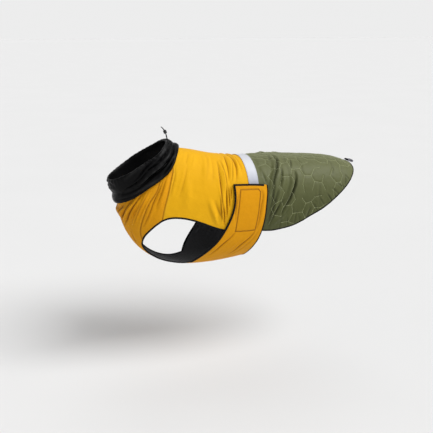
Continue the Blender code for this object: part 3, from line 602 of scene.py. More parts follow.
def neck_line(first, last, steps):
    """The neck seam between two angles."""
    return table_line(NECK_SEAM, np.linspace(first, last, steps + 1))


def girth_line(steps):
    """The girth seam, from the back down to the hem."""
    return np.stack([np.full(steps + 1, GIRTH_X), np.linspace(0, GIRTH_END_ANGLE, steps + 1)], axis=-1)


yoke_seam = smooth_path(YOKE_SEAM, YOKE_SEAM_STEPS)
bib_seam = smooth_path(BIB_SEAM, YOKE_SEAM_STEPS)
hem = smooth_path(HEM, RUMP_STEPS)
tail_edge = smooth_path(TAIL_EDGE, RUMP_HALF_STEPS)

yoke_neck = round_back(neck_line(0, YOKE_SEAM_ANGLE, YOKE_HALF_STEPS))
yoke_side = joined(yoke_seam, smooth_path(ARMHOLE_TOP, ARMHOLE_TOP_STEPS, PLEATED))
yoke_places = fill_between(yoke_neck, round_back(girth_line(YOKE_HALF_STEPS)), mirrored(yoke_side), yoke_side)

chest_side_neck = neck_line(YOKE_SEAM_ANGLE, BIB_SEAM_ANGLE, CHEST_SIDE_STEPS)
armhole_front = smooth_path(ARMHOLE_FRONT, CHEST_SIDE_STEPS)
chest_side_places = fill_between(chest_side_neck, armhole_front, yoke_seam, bib_seam)

bib_neck = round_belly(neck_line(BIB_SEAM_ANGLE, 180, BIB_HALF_STEPS))
bib_side = joined(bib_seam, smooth_path(ARMHOLE_LOW, ARMHOLE_LOW_STEPS))
band_seam = round_belly(smooth_path(BAND_SEAM, BIB_HALF_STEPS))
bib_places = fill_between(bib_neck, band_seam, bib_side, under_belly(bib_side))

band_front = joined(smooth_path(WING_FRONT, WING_STEPS), smooth_path(BAND_SEAM, BAND_SEAM_STEPS))
band_rear_edge = smooth_path(WING_REAR, WING_STEPS + BAND_SEAM_STEPS)
wing_top = smooth_path(WING_TOP, BAND_STEPS)
band_places = fill_between(round_belly(band_front), round_belly(band_rear_edge),
                           wing_top, under_belly(wing_top))

rump_girth = girth_line(RUMP_HALF_STEPS)
rump_places = fill_between(round_back(rump_girth), round_back(tail_edge[::-1]), mirrored(hem), hem)

grids = {"yoke": yoke_places, "bib": bib_places, "band": band_places, "rump": rump_places}
for title, places in grids.items():
    print(title, "grid", places.shape[:2])

# %% [markdown]
# ## Folds and creases
#
# The CAD solids carry the largest folds. They are repeated here, and sharper creases lie over them.
# Every fold is a line of places with a height and a width. A soft fold has a round section. A
# crease has a cusp, as cloth that is pushed together bends hard along a line and bulges beside it.
# A negative height is a trough. The tables follow the folds that the photograph shows, uneven in
# length, depth and spacing, and the right side gets softer twins that are slid along a little.

# %% Measure the way to a line
def near_line(points, line, reach):
    """The points within reach of a polyline: number, distance, share along it and side."""
    low, high = line.min(0) - reach, line.max(0) + reach
    found = np.flatnonzero(((points > low) & (points < high)).all(1))
    start, step = line[:-1], np.diff(line, axis=0)
    offset = points[found, None] - start
    share = np.clip((offset * step).sum(-1) / (step**2).sum(-1), 0, 1)
    offset -= share[..., None] * step
    distance = np.linalg.norm(offset, axis=-1)
    nearest = distance.argmin(1)
    row = np.arange(len(found))
    along = (nearest + share[row, nearest]) / len(start)
    return found, distance[row, nearest], along, offset[row, nearest, 0] > 0


# %% Soft folds, as in the solids
Fold = namedtuple("Fold", "height front_width rear_width path")
LEFT_FOLDS = [
    Fold(2.4, 16, 12, [(-109, 17), (-100, 36), (-94, 50), (-88, 60)]),
    Fold(3.4, 12, 9, [(-75, 22), (-61, 42), (-53, 54), (-46, 66)]),
    Fold(3.2, 9, 8, [(-52, 6), (-46, 30), (-42, 45), (-40, 56)]),
    Fold(2.2, 8, 8, [(-31, -6), (-32, 20), (-29, 40), (-27, 50)]),
    Fold(4.2, 9, 7, [(-56, 62), (-49, 74), (-44, 86), (-40, 98)]),
    Fold(3.2, 12, 9, [(-70, 72), (-58, 82), (-50, 90), (-42, 99)]),
    Fold(2.2, 18, 14, [(-124, 60), (-104, 78), (-96, 88)]),
    Fold(4.6, 9, 8, [(-160, 101), (-155, 112), (-149, 124), (-137, 140)]),
    Fold(4.4, 9, 8, [(-161, 117), (-156, 128), (-150, 142), (-146, 150)]),
    Fold(4.0, 10, 8, [(-161, 134), (-154, 146), (-146, 156), (-138, 162)]),
    Fold(3.2, 10, 9, [(-160, 156), (-148, 164), (-130, 170)]),
    Fold(3.0, 10, 8, [(-159, 73), (-146, 84), (-137, 96), (-132, 102)]),
    Fold(4.6, 10, 10, [(63, 20), (64, 32), (58, 42), (48, 54), (38, 66)]),
    Fold(4.4, 10, 12, [(98, 40), (101, 56), (95, 68), (84, 80), (72, 92)]),
    Fold(3.8, 10, 10, [(83, 46), (79, 58), (66, 70), (52, 82), (42, 94)]),
    Fold(3.0, 10, 10, [(102, 20), (98, 32), (95, 40)]),
    Fold(3.4, 10, 10, [(84, 96), (62, 103), (44, 108)]),
    Fold(1.6, 12, 12, [(140, 92), (132, 104), (126, 112)]),
]
THROAT_SWELL = Fold(6.5, 8, 26, [(-158, 118), (-159, 150), (-159, 180), (-159, 210), (-158, 242)])
RIGHT_SIDE_SLIP = -4.0
RIGHT_SIDE_EASE = 0.9
FOLD_STEPS = 24
FOLD_WAVE = (0.06, 0.94)


def both_sides(folds):
    """The left side's folds and their slid, softer twins on the right side."""
    for fold in folds:
        yield fold
        path = [(x, -angle - RIGHT_SIDE_SLIP) for x, angle in fold.path]
        yield fold._replace(height=fold.height * RIGHT_SIDE_EASE, path=path)


def fold_lift(places):
    """Height of the soft folds over the plain surface at each place."""
    points = on_body(places).reshape(-1, 3)
    lift = np.zeros(len(points))
    for fold in [*both_sides(LEFT_FOLDS), THROAT_SWELL]:
        line = on_body(smooth_path(fold.path, FOLD_STEPS))
        reach = max(fold.front_width, fold.rear_width)
        found, distance, along, behind = near_line(points, line, reach)
        width = np.where(behind, fold.rear_width, fold.front_width)
        crest = (1 + np.cos(np.pi * np.clip(distance / width, 0, 1))) / 2
        lift[found] += fold.height * crest * np.sin(np.pi * np.interp(along, (0, 1), FOLD_WAVE))
    return lift.reshape(places.shape[:-1])


print("soft folds:", len(LEFT_FOLDS), "a side")

# %% Crease the yoke
Crease = namedtuple("Crease", "height width path")
YOKE_CREASES = [
    Crease(-2.0, 3.2, [(-58, 8), (-58.5, 20), (-56, 31), (-52, 42), (-48, 53)]),
    Crease(1.2, 5, [(-64, 12), (-65, 30), (-60, 44), (-56, 53)]),
    Crease(-1.9, 3.2, [(-44, -3), (-40.5, 16), (-36.5, 31), (-34.5, 43), (-34, 54)]),
    Crease(1.0, 4, [(-41, 8), (-42, 26), (-40, 40), (-39, 51)]),
    Crease(-1.5, 3, [(-29.5, -4), (-29, 18), (-25, 34), (-22.5, 44)]),
    Crease(-1.3, 3, [(-42, 20), (-43.8, 32), (-43.4, 42), (-41.5, 54)]),
    Crease(-1.7, 3, [(-73, 27), (-66, 36), (-58, 45), (-50.5, 56), (-44, 67)]),
    Crease(-1.0, 4, [(-95, 18), (-90, 32), (-83, 45), (-76, 58)]),
    Crease(-2.2, 3.4, [(-80, 27), (-72, 42), (-62, 56), (-53, 68), (-46, 79), (-40, 90)]),
    Crease(1.1, 5, [(-73, 36), (-64, 47), (-56, 56), (-50, 64)]),
    Crease(-1.1, 4, [(-74, 22), (-70, 30), (-65, 38)]),
    Crease(-1.5, 5, [(-62, 72), (-54, 79), (-45, 87), (-38, 94), (-34, 100)]),
    Crease(1.0, 6, [(-70, 74), (-60, 82), (-50, 91), (-44, 97)]),
    Crease(-3.8, 3.0, [(-52, 56), (-47.5, 64), (-43, 73), (-38.5, 83), (-35.5, 95)]),
    Crease(-3.8, 2.8, [(-47.5, 56), (-43.5, 64), (-39.5, 72), (-36.5, 80)]),
    Crease(-3.4, 2.8, [(-43, 57), (-40, 64), (-36.8, 72)]),
    Crease(-3.2, 3.0, [(-50, 72), (-44.5, 80), (-39.5, 89), (-36.5, 99)]),
    Crease(-2.0, 3.5, [(-57, 66), (-51, 75), (-45.5, 85), (-41, 95)]),
    Crease(-0.9, 6, [(-110, 12), (-101, 32), (-95, 46), (-90, 57)]),
    Crease(0.9, 6, [(-104, 14), (-95, 34), (-89, 48)]),
    Crease(-1.0, 5, [(-140, 44), (-131, 58), (-122, 72), (-116, 84)]),
    Crease(-0.9, 6, [(-150, 20), (-146, 36), (-141, 50)]),
    Crease(0.8, 7, [(-134, 22), (-130, 38), (-126, 50)]),
]
print("yoke creases:", len(YOKE_CREASES), "a side")

# %% Crease the chest
CHEST_CREASES = [
    Crease(-4.0, 4.4, [(-165, 108), (-163, 114), (-159, 125), (-154, 136), (-147, 150), (-140, 166)]),
    Crease(2.6, 5, [(-160, 101), (-157, 109), (-151, 121), (-144, 135), (-136, 149)]),
    Crease(2.0, 5, [(-165, 118), (-159, 133), (-152, 148), (-145, 163)]),
    Crease(-3.0, 4.2, [(-165, 128), (-162, 139), (-156, 150), (-150, 165), (-145, 176)]),
    Crease(2.2, 5, [(-164, 141), (-158, 155), (-150, 172)]),
    Crease(-2.6, 4.2, [(-165, 150), (-160, 163), (-154, 177)]),
    Crease(-1.8, 3.4, [(-162, 99), (-158, 106), (-152, 117), (-145, 129), (-137, 142)]),
    Crease(1.7, 5, [(-157, 94), (-152, 104), (-146, 115), (-139, 126), (-131, 139)]),
    Crease(-1.8, 3.6, [(-156, 82), (-149, 93), (-143, 104), (-136, 114), (-130, 124)]),
    Crease(1.5, 4.5, [(-160, 66), (-149, 77), (-139, 89), (-132, 100), (-127, 108)]),
    Crease(-1.4, 3, [(-158, 72), (-150, 83), (-141, 95), (-134, 107)]),
    Crease(-1.4, 3.5, [(-138, 112), (-132, 122), (-127, 132)]),
    Crease(-1.5, 4, [(-134, 152), (-124, 158), (-108, 166)]),
    Crease(1.2, 5, [(-128, 148), (-117, 156), (-100, 164)]),
    Crease(-1.2, 4, [(-160, 56), (-150, 63), (-138, 76), (-128, 88)]),
]
print("chest creases:", len(CHEST_CREASES), "a side")

# %% Crease the rump panel
RUMP_CREASES = [
    Crease(-4.2, 4.2, [(73, 9), (71, 24), (69, 34), (63, 43), (53, 53), (47, 60), (43, 67), (39, 80)]),
    Crease(-2.4, 11, [(72, 14), (66, 38), (52, 54), (42, 70)]),
    Crease(1.8, 5, [(61, 16), (60, 28), (55, 40), (46, 51)]),
    Crease(1.2, 5, [(82, 16), (80, 28), (77, 38)]),
    Crease(-2.4, 4, [(77, 42), (74, 50), (71, 56), (66, 64)]),
    Crease(-2.0, 3.6, [(107, 24), (106, 34), (100, 45)]),
    Crease(-4.4, 4.2, [(109, 44), (111, 55), (108, 62), (100, 71), (93, 79), (84, 86), (74, 95), (64, 103)]),
    Crease(-2.6, 11, [(110, 46), (108, 62), (94, 78), (76, 94)]),
    Crease(1.6, 5, [(97, 50), (100, 58), (94, 67), (85, 76)]),
    Crease(-1.3, 4, [(21, 42), (25, 51), (30, 60)]),
    Crease(-2.6, 4, [(54, 59), (47, 70), (42, 80), (35, 91)]),
    Crease(-2.8, 4, [(60, 67), (51, 78), (45, 87), (37, 96), (29, 103)]),
    Crease(-2.4, 4, [(68, 84), (58, 91), (46, 99), (34, 106)]),
    Crease(-2.8, 3.8, [(78, 78), (64, 86), (51, 94), (38, 100), (28, 106)]),
    Crease(1.2, 4, [(66, 72), (55, 82), (46, 91)]),
    Crease(-1.5, 5, [(58, 6), (57, 20), (50, 31)]),
    Crease(-1.3, 4, [(96, 92), (78, 99), (58, 107)]),
    Crease(-1.7, 5, [(150, 94), (143, 102), (138, 110)]),
    Crease(-1.4, 4, [(113, 97), (110, 106), (108, 114)]),
    Crease(-1.3, 4, [(73, 103), (70, 110), (69, 116)]),
    Crease(-1.5, 4, [(252, 50), (250, 58), (246, 66)]),
    Crease(-1.5, 3, [(264, 58), (257, 54), (250, 50)]),
    Crease(-1.7, 3, [(247, 69), (237, 66), (226, 63)]),
    Crease(-1.4, 3.4, [(231, 78), (221, 74), (208, 68)]),
    Crease(-1.9, 3, [(212, 88), (204, 83), (194, 76)]),
    Crease(-1.3, 3.2, [(193, 96), (184, 90), (172, 80)]),
    Crease(-1.6, 3, [(171, 102), (166, 98), (158, 90)]),
    Crease(-1.2, 3.4, [(124, 114), (120, 108), (115, 99)]),
    Crease(-1.4, 3, [(93, 117), (91, 111), (88, 103)]),
    Crease(-1.0, 5, [(128, 28), (132, 43), (128, 56)]),
    Crease(-1.1, 5, [(178, 60), (172, 76), (176, 92)]),
    Crease(-1.0, 5, [(214, 24), (218, 40), (212, 56)]),
]
print("rump creases:", len(RUMP_CREASES), "a side")

# %% Crease the band
BAND_CREASES = [
    Crease(-2.4, 3.2, [(-21, 105), (-26, 112), (-31, 117.5), (-36, 125), (-41, 134)]),
    Crease(-2.4, 3.2, [(5, 107), (-3, 116), (-10, 121.5), (-16, 129), (-22, 138)]),
    Crease(-1.4, 3.5, [(-26, 61), (-28, 70), (-28.5, 78), (-27, 86), (-24, 96)]),
    Crease(-1.6, 4, [(12, 62), (16, 69), (13, 80), (10, 94), (5, 109)]),
    Crease(1.0, 4, [(20, 66), (19, 80), (15, 96)]),
    Crease(-1.1, 5, [(16, 102), (4, 116), (-12, 132), (-28, 148)]),
    Crease(0.9, 5, [(-12, 112), (-20, 122), (-28, 134)]),
    Crease(-1.0, 5, [(0, 146), (-16, 154), (-34, 166)]),
    Crease(0.8, 6, [(-10, 160), (-24, 172), (-34, 186)]),
    Crease(-1.2, 4, [(-31, 100), (-37, 112), (-43, 126)]),
]
print("band creases:", len(BAND_CREASES), "a side")

# %% [markdown]
# ## The shape of a crease
#
# Pushed cloth bends hard along one line and bulges low on both sides of it. The height is a cusp with
# two shoulders that point the other way, and it fades out towards both ends. Shade is painted into a
# deep trough and a highlight onto a high ridge, so both are kept as values on the points.

# %% Lift a crease
CREASE_STEPS = 30
CREASE_REACH = 3
CREASE_FADE = 0.7
SHOULDER_SHARE = 0.34
SHOULDER_PLACE = 1.45
SHOULDER_WIDTH = 0.55
# Painted shade in troughs and painted highlight on ridges: the heights between which they grow, and their
# widths in shares of the crease.
PAINTED_SHADE_FROM = 0.7
PAINTED_SHADE_HEIGHT = 2.2
PAINTED_SHADE_WIDTH = 0.45
PAINTED_HIGHLIGHT_WIDTH = 0.6


def crease_lift(points, lines):
    """Height of sharp creases with low shoulders, and painted shade in troughs and highlight on ridges."""
    lift, painted_shade, high = np.zeros((3, len(points)))
    for crease, line in lines:
        found, distance, along, _ = near_line(points, line, CREASE_REACH * crease.width)
        steps = distance / crease.width
        fade = np.sin(np.pi * along)**CREASE_FADE
        cusp = np.clip(1 - steps, 0, 1)**2
        shoulder = SHOULDER_SHARE * np.exp(-((steps - SHOULDER_PLACE) / SHOULDER_WIDTH)**2)
        lift[found] += crease.height * (cusp - shoulder) * fade
        # The marks: painted shade in a trough, painted highlight on a ridge.
        strength = np.interp(abs(crease.height), (PAINTED_SHADE_FROM, PAINTED_SHADE_HEIGHT), (0, 1)) * fade
        mark, width = (painted_shade, PAINTED_SHADE_WIDTH) if crease.height < 0 else (high, PAINTED_HIGHLIGHT_WIDTH)
        mark[found] = np.maximum(mark[found], strength * np.exp(-(steps / width)**2))
    return lift, painted_shade, high


def crease_lines(creases):
    return [(crease, on_body(smooth_path(crease.path, CREASE_STEPS))) for crease in both_sides(creases)]


print("creases of the rump, both sides:", len(crease_lines(RUMP_CREASES)))

# %% [markdown]
# ## From places to cloth
#
# A cut piece is a thin closed wall: an outer skin, an inner skin and a rim that joins them. The
# points are worked out with numpy first and made a mesh in one go, because a loop over thousands of
# points in Python is slow. The outer skin gets the creases, a dip along each sewn seam, where the
# stitches pull the cloth down and pucker it, and the small unevenness of cloth that lies on a body.
# Each piece keeps a flat map in real metres for its threads.

# %% Dip the seams and roughen the cloth
SEAM_DIP = 1.0
SEAM_DIP_WIDTH = 1.9
PUCKER_SHARE = 0.45
PUCKER_LENGTH = 9.0
PUCKER_DRIFT = 2
PUCKER_DRIFT_WAVES = 9
# Painted shade along a seam: its strength and width.
SEAM_PAINTED_SHADE = 0.8
SEAM_PAINTED_SHADE_WIDTH = 1.5
LINE_DIP = 0.9
LINE_DIP_WIDTH = 1.2
WORN_WIDTH = 7.0
UNEVEN = [(0.35, 0.045), (0.16, 0.11)]


def uneven(points):
    """Small random height of cloth that lies on a body: (height, waves to a millimetre) twice."""
    total = np.zeros(len(points))
    for height, waves in UNEVEN:
        total += height * np.array([noise.noise(Vector(p) * waves) for p in points])
    return total


def ramp(value, start, end):
    """A smooth step from 0 at start to 1 at end."""
    share = np.clip((value - start) / (end - start), 0, 1)
    return share**2 * (3 - 2 * share)


def seam_lift(points, seams):
    """A dip along each seam line, with puckers, the wear beside it and painted shade along it."""
    lift, wear_and_highlight, painted_shade = np.zeros((3, len(points)))
    for seam in seams:
        line = on_body(seam)
        length = np.linalg.norm(np.diff(line, axis=0), axis=1).sum()
        found, distance, along, _ = near_line(points, line, 3 * WORN_WIDTH)
        drift = PUCKER_DRIFT * np.sin(PUCKER_DRIFT_WAVES * along)
        pucker = 1 + PUCKER_SHARE * np.sin(2 * np.pi * along * length / PUCKER_LENGTH + drift)
        dip = -SEAM_DIP * pucker * np.exp(-(distance / SEAM_DIP_WIDTH)**2)
        lift[found] = np.minimum(lift[found], dip)
        wear_and_highlight[found] = np.maximum(wear_and_highlight[found], np.exp(-(distance / WORN_WIDTH)**2))
        # Painted shade along the seam.
        painted_shade[found] = np.maximum(painted_shade[found], SEAM_PAINTED_SHADE * np.exp(-(distance / SEAM_PAINTED_SHADE_WIDTH)**2))
    return lift, wear_and_highlight, painted_shade


def line_dip(points, lines):
    """A narrow dip along lines sewn in the middle of a piece."""
    lift = np.zeros(len(points))
    for line in lines:
        found, distance, _, _ = near_line(points, on_body(line), 4 * LINE_DIP_WIDTH)
        lift[found] = np.minimum(lift[found], -LINE_DIP * np.exp(-(distance / LINE_DIP_WIDTH)**2))
    return lift


print("the cloth is uneven by up to", sum(height for height, _ in UNEVEN), "mm")

# %% [markdown]
# ## Meshes from grids
#
# Walls, bindings, cord and stopper are all grids of points, so they share their mesh code: numbers
# for the points, a face between four neighbours, the flat map and the shading. A wall between two
# grids needs a rim as well, and a tube is a grid that closes on itself and gets two end caps.

# %% Make meshes from grids
WALL_SHARP = 50
TUBE_SHARP = 60


def numbered(shape, closed=False):
    """The numbers of a grid's points. Closed repeats the first column after the last."""
    number = np.arange(shape[0] * shape[1]).reshape(shape[:2])
    return np.concatenate([number, number[:, :1]], axis=1) if closed else number


def quads(number):
    """The faces between the points of a numbered grid."""
    cells = [number[:-1, :-1], number[:-1, 1:], number[1:, 1:], number[1:, :-1]]
    return np.stack(cells, axis=-1).reshape(-1, 4)


def flat_map(points):
    """Real lengths across and down a grid, in metres."""
    across = np.linalg.norm(np.diff(points, axis=1), axis=-1)
    down = np.linalg.norm(np.diff(points, axis=0), axis=-1)
    across = np.concatenate([np.zeros((points.shape[0], 1)), np.cumsum(across, axis=1)], axis=1)
    down = np.concatenate([np.zeros((1, points.shape[1])), np.cumsum(down, axis=0)], axis=0)
    across = across - across[:, across.shape[1] // 2, None]
    return np.stack([across, down], axis=-1) * MM


def write_flat_map(mesh, flat):
    """Give a mesh its flat map, of as many points as one of its skins has."""
    flat = flat.reshape(-1, 2)
    corner = np.empty(len(mesh.loops), int)
    mesh.loops.foreach_get("vertex_index", corner)
    mesh.uv_layers.new(name="flat").data.foreach_set("uv", flat[corner % len(flat)].ravel())


def shade(mesh, sharp_from):
    mesh.shade_smooth()
    mesh.set_sharp_from_angle(angle=math.radians(sharp_from))


def turn_outward(mesh):
    """Turn the faces of a closed mesh outward."""
    work = bmesh.new()
    work.from_mesh(mesh)
    if work.calc_volume(signed=True) < 0:
        bmesh.ops.reverse_faces(work, faces=work.faces)
    work.to_mesh(mesh)
    work.free()


def wall_mesh(name, inner, outer, marks, closed=False):
    """The wall between two grids in millimetres. Closed joins the last column to the first."""
    number = numbered(inner.shape, closed)
    count = inner.shape[0] * inner.shape[1]
    low = quads(number)
    if closed:
        rims = [number[0], number[-1, ::-1]]
    else:
        rims = [np.concatenate([number[0], number[1:, -1], number[-1, -2::-1], number[-2::-1, 0]])]
    rim = [np.stack([r[:-1], r[1:], r[1:] + count, r[:-1] + count], axis=-1) for r in rims]
    faces = np.concatenate([low + count, low[:, ::-1], *rim])
    mesh = bpy.data.meshes.new(name)
    points = np.concatenate([inner.reshape(-1, 3), outer.reshape(-1, 3)]) * MM
    mesh.from_pydata(points.tolist(), [], faces.tolist())
    write_flat_map(mesh, flat_map(outer))
    for title, values in marks.items():
        mark = mesh.attributes.new(title, "FLOAT", "POINT")
        mark.data.foreach_set("value", np.tile(values.ravel(), 2))
    skin = np.zeros(len(faces), int)
    skin[len(low):2 * len(low)] = 1
    mesh.polygons.foreach_set("material_index", skin)
    shade(mesh, WALL_SHARP)
    mesh.update()
    return mesh


def tube_mesh(name, rings):
    """A closed tube through rings of points in millimetres, with a flat map along it."""
    number = numbered(rings.shape)
    faces = quads(numbered(rings.shape, closed=True)).tolist()
    faces += [number[0, ::-1].tolist(), number[-1].tolist()]
    mesh = bpy.data.meshes.new(name)
    mesh.from_pydata((rings.reshape(-1, 3) * MM).tolist(), [], faces)
    turn_outward(mesh)
    write_flat_map(mesh, flat_map(np.concatenate([rings, rings[:, :1]], axis=1))[:, :-1])
    shade(mesh, TUBE_SHARP)
    return mesh


def add_piece(name, mesh, materials):
    """Link a finished mesh as a piece with its materials."""
    thing = bpy.data.objects.new(name, mesh)
    for material in materials:
        mesh.materials.append(material)
    bpy.context.scene.collection.objects.link(thing)
    return thing


print("a grid of 3 by 4 points has", len(quads(numbered((3, 4)))), "faces")

# %% Cut a piece of cloth
WALL = 1.6
LEAST_WALL = 0.5
INNER_SHARE = 0.8

Piece = namedtuple("Piece", "thing inner outer places")


def cut_piece(name, places, outside, creases=(), seams=(), lift=0.0, wall=WALL, relief=0.0,
              inside=charcoal_fleece, sewn=(), free=1.0):
    """A cloth piece over a grid of places, creased where it is free and pulled in where it is sewn."""
    shape = places.shape[:2]
    plain, normal = on_body(places), outward(places)
    points = plain.reshape(-1, 3)
    crease_parts = crease_lift(points, crease_lines(creases))
    # The crease marks: painted shade in troughs, painted highlight on ridges.
    creased, painted_shade, high = (values.reshape(shape) * free for values in crease_parts)
    dip, wear_and_highlight, seam_painted_shade = (values.reshape(shape) for values in seam_lift(points, seams))
    line = line_dip(points, sewn).reshape(shape)
    # Painted shade from creases, seams and sewn lines together.
    painted_shade = np.maximum(np.maximum(painted_shade, seam_painted_shade), -line / LINE_DIP)
    base = lift + fold_lift(places) + creased * INNER_SHARE
    inner = plain + normal * base[..., None]
    rise = wall + relief + dip + line + creased * (1 - INNER_SHARE) + uneven(points).reshape(shape)
    outer = inner + normal * np.maximum(rise, LEAST_WALL)[..., None]
    # Wear at seams with painted ridge highlights, and painted shade.
    mesh = wall_mesh(name, inner, outer, {"wear_and_highlight": np.maximum(wear_and_highlight, high), "painted_shade": painted_shade})
    print(name, len(mesh.polygons), "faces, wall", round(float(rise.mean()), 2), "mm")
    return Piece(add_piece(name, mesh, [outside, inside]), inner, outer, places)


print("a shell wall is", WALL, "mm thick")

# %% [markdown]
# ## Yoke, chest sides and bib
#
# The front of the coat is cut from one shell cloth. The seams between yoke, chest side and bib run
# from under the snood to the armhole, and the darker line that they draw is the dip where both
# cloths turn in. Making each piece its own wall on a shared seam gives that dip, and painted shade
# along the seam darkens it. Chest, bib and band get a darker copy of the yoke's shell as painted
# shade, and beside the tape the cloth is pressed flat.

# %% Cut the front pieces
TAPE_PRESSES_FROM = 15.0
TAPE_FREE_FROM = 23.0

yoke = cut_piece("yoke_cloth", yoke_places, yellow_shell, YOKE_CREASES + CHEST_CREASES,
                 [yoke_seam, mirrored(yoke_seam)],
                 free=ramp(-yoke_places[..., 0], TAPE_PRESSES_FROM, TAPE_FREE_FROM))
chest_side_left = cut_piece("chest_side_left_cloth", chest_side_places, shaded_yellow_shell, CHEST_CREASES,
                            [yoke_seam, bib_seam])
chest_side_right = cut_piece("chest_side_right_cloth", mirrored(chest_side_places)[:, ::-1], shaded_yellow_shell,
                             CHEST_CREASES, [mirrored(yoke_seam), mirrored(bib_seam)])
bib = cut_piece("chest_bib_cloth", bib_places, shaded_yellow_shell, CHEST_CREASES,
                [bib_seam, mirrored(bib_seam), band_seam])

# %% [markdown]
# ## Belly band and wings
#
# The band lies in line with the bib under the belly. On both sides it lifts off and wraps up over
# yoke and rump as a wing, which the hook-and-loop patch under it holds 5 mm off the body. The lift
# eases out over 30 degrees, as the real double cloth does. A box with one corner cut off is sewn on
# each wing.

# %% Cut the band
WING_LIFT = 4.8
WING_WALL = 2.0
WING_LIFT_UNTIL = 116.0
BELLY_FLAT_FROM = 146.0
WING_BOX = [
    [(-25.5, 61.5), (-9, 62), (7, 63)],
    [(7, 63), (11, 66)],
    [(11, 66), (8.7, 79), (6.5, 93), (3.2, 108)],
    [(3.2, 108), (-9, 107), (-22, 105.3)],
    [(-22, 105.3), (-23, 90), (-24.2, 76), (-25.5, 61.5)],
]


def band_lift(places):
    """The wings lie over the coat's sides, and the belly part lies in line with the bib."""
    angle = np.abs(places[..., 1])
    return WING_LIFT * (1 - ramp(np.minimum(angle, 360 - angle), WING_LIFT_UNTIL, BELLY_FLAT_FROM))


def straight(points, count=12):
    """Places along straight runs between points."""
    points = np.array(points, float)
    at = np.linspace(0, len(points) - 1, count * (len(points) - 1) + 1)
    return np.stack([np.interp(at, range(len(points)), points[:, k]) for k in (0, 1)], axis=-1)


wing_boxes = [side_of(straight(run)) for run in WING_BOX for side_of in (np.array, mirrored)]
band = cut_piece("belly_band_cloth", band_places, shaded_yellow_shell, BAND_CREASES, [band_seam],
                 band_lift(band_places), WING_WALL, sewn=wing_boxes)

# %% [markdown]
# ## Quilted rump panel
#
# Two thin cloths with wadding between them are sewn together along lines. The wadding fills the
# cells and stands up between the stitches, while the inner skin stays plain. The lines here are an
# uneven honeycomb with some sides left out: a quilting of our own, in the scale of the real one.

# %% Lay out the quilting
QUILT_CELL = 33.0
QUILT_SEED = 11
QUILT_JITTER = 4.5
QUILT_LEFT_OUT = 0.2
QUILT_COLUMNS = range(-1, 13)
QUILT_ROWS = range(-8, 9)
SAME_CORNER = 3


def quilt_lines():
    """Sewn lines as (start, end) pairs of points in millimetres along and around the rump."""
    random_source = random.Random(QUILT_SEED)
    side = QUILT_CELL / math.sqrt(3)
    corners, sides = {}, set()
    for column in QUILT_COLUMNS:
        for row in QUILT_ROWS:
            middle = (column * 1.5 * side, (row + column % 2 / 2) * QUILT_CELL)
            ring = []
            for turn in range(6):
                x = middle[0] + side * math.cos(math.radians(60 * turn))
                y = middle[1] + side * math.sin(math.radians(60 * turn))
                key = (round(x), round(y))
                near = [k for k in corners if math.dist(k, key) < SAME_CORNER]
                key = near[0] if near else key
                if not near:
                    push = random_source.uniform(-1, 1), random_source.uniform(-1, 1)
                    corners[key] = (x + QUILT_JITTER * push[0], y + QUILT_JITTER * push[1])
                ring.append(key)
            sides.update(tuple(sorted(pair)) for pair in zip(ring, ring[1:] + ring[:1]))
    kept = [pair for pair in sorted(sides) if random_source.random() > QUILT_LEFT_OUT]
    return np.array([[corners[a], corners[b]] for a, b in kept])


quilting = quilt_lines()
print("quilting lines:", len(quilting))

# %% Raise the wadding
QUILT_HEIGHT = 1.4
QUILT_VALLEY = 6.0
QUILT_ROUND = 0.8
AROUND_PER_DEGREE = 1.85
BOUND_FLAT = 9.0

# Where wings and tail tab press the quilting flat, and where it is free again.
WING_REACH_X = (33, 42)
WING_REACH_ANGLE = (52, 44)
TAB_START_X = 291.4
TAB_REACH_X = (12, 20)
TAB_REACH_ANGLE = (6, 12)


def quilt_height(places):
    """How far the wadding stands out between the sewn lines, from 0 to 1."""
    points = np.stack([places[..., 0], places[..., 1] * AROUND_PER_DEGREE], axis=-1)
    reach = np.full(points.shape[:2], np.inf)
    for start, end in quilting:
        step = end - start
        share = np.clip(((points - start) * step).sum(-1) / (step**2).sum(), 0, 1)
        reach = np.minimum(reach, np.linalg.norm(points - start - share[..., None] * step, axis=-1))
    return np.sin(np.pi / 2 * np.clip(reach / QUILT_VALLEY, 0, 1))**QUILT_ROUND


def uncovered(places):
    """1 where the quilting is free, and 0 where tape, wings or the tail tab press it flat."""
    back_x, angle = places[..., 0], np.abs(places[..., 1])
    off_tape = ramp(back_x, TAPE_PRESSES_FROM, TAPE_FREE_FROM)
    off_wing = 1 - (1 - ramp(back_x, *WING_REACH_X)) * (1 - ramp(angle, *WING_REACH_ANGLE))
    off_tab = 1 - ((1 - ramp(np.abs(back_x - TAB_START_X), *TAB_REACH_X))
                   * (1 - ramp(angle, *TAB_REACH_ANGLE)))
    return off_tape * off_wing * off_tab


def from_edges(points, width):
    """0 at the bound edges of a grid and 1 from a width inside them, at its sides and its end."""
    down = np.linalg.norm(np.diff(points, axis=0), axis=-1)
    across = np.linalg.norm(np.diff(points, axis=1), axis=-1)
    to_end = np.concatenate([np.cumsum(down[::-1], axis=0)[::-1], np.zeros((1, points.shape[1]))])
    left = np.concatenate([np.zeros((len(points), 1)), np.cumsum(across, axis=1)], axis=1)
    right = left[:, -1:] - left
    return ramp(np.minimum(to_end, np.minimum(left, right)), 0, width)


padding = quilt_height(rump_places) * uncovered(rump_places) * from_edges(on_body(rump_places), BOUND_FLAT)
rump = cut_piece("rump_quilt", rump_places, olive_quilt, RUMP_CREASES, relief=QUILT_HEIGHT * padding,
                 free=ramp(rump_places[..., 0], TAPE_PRESSES_FROM, TAPE_FREE_FROM))

# %% [markdown]
# ## Reflective tape
#
# A 25 mm band of glass-bead film is sewn over the girth seam. It is stiffer than the cloth, so it
# lies smoothly across it with only a few soft dents. It ends under the wings.

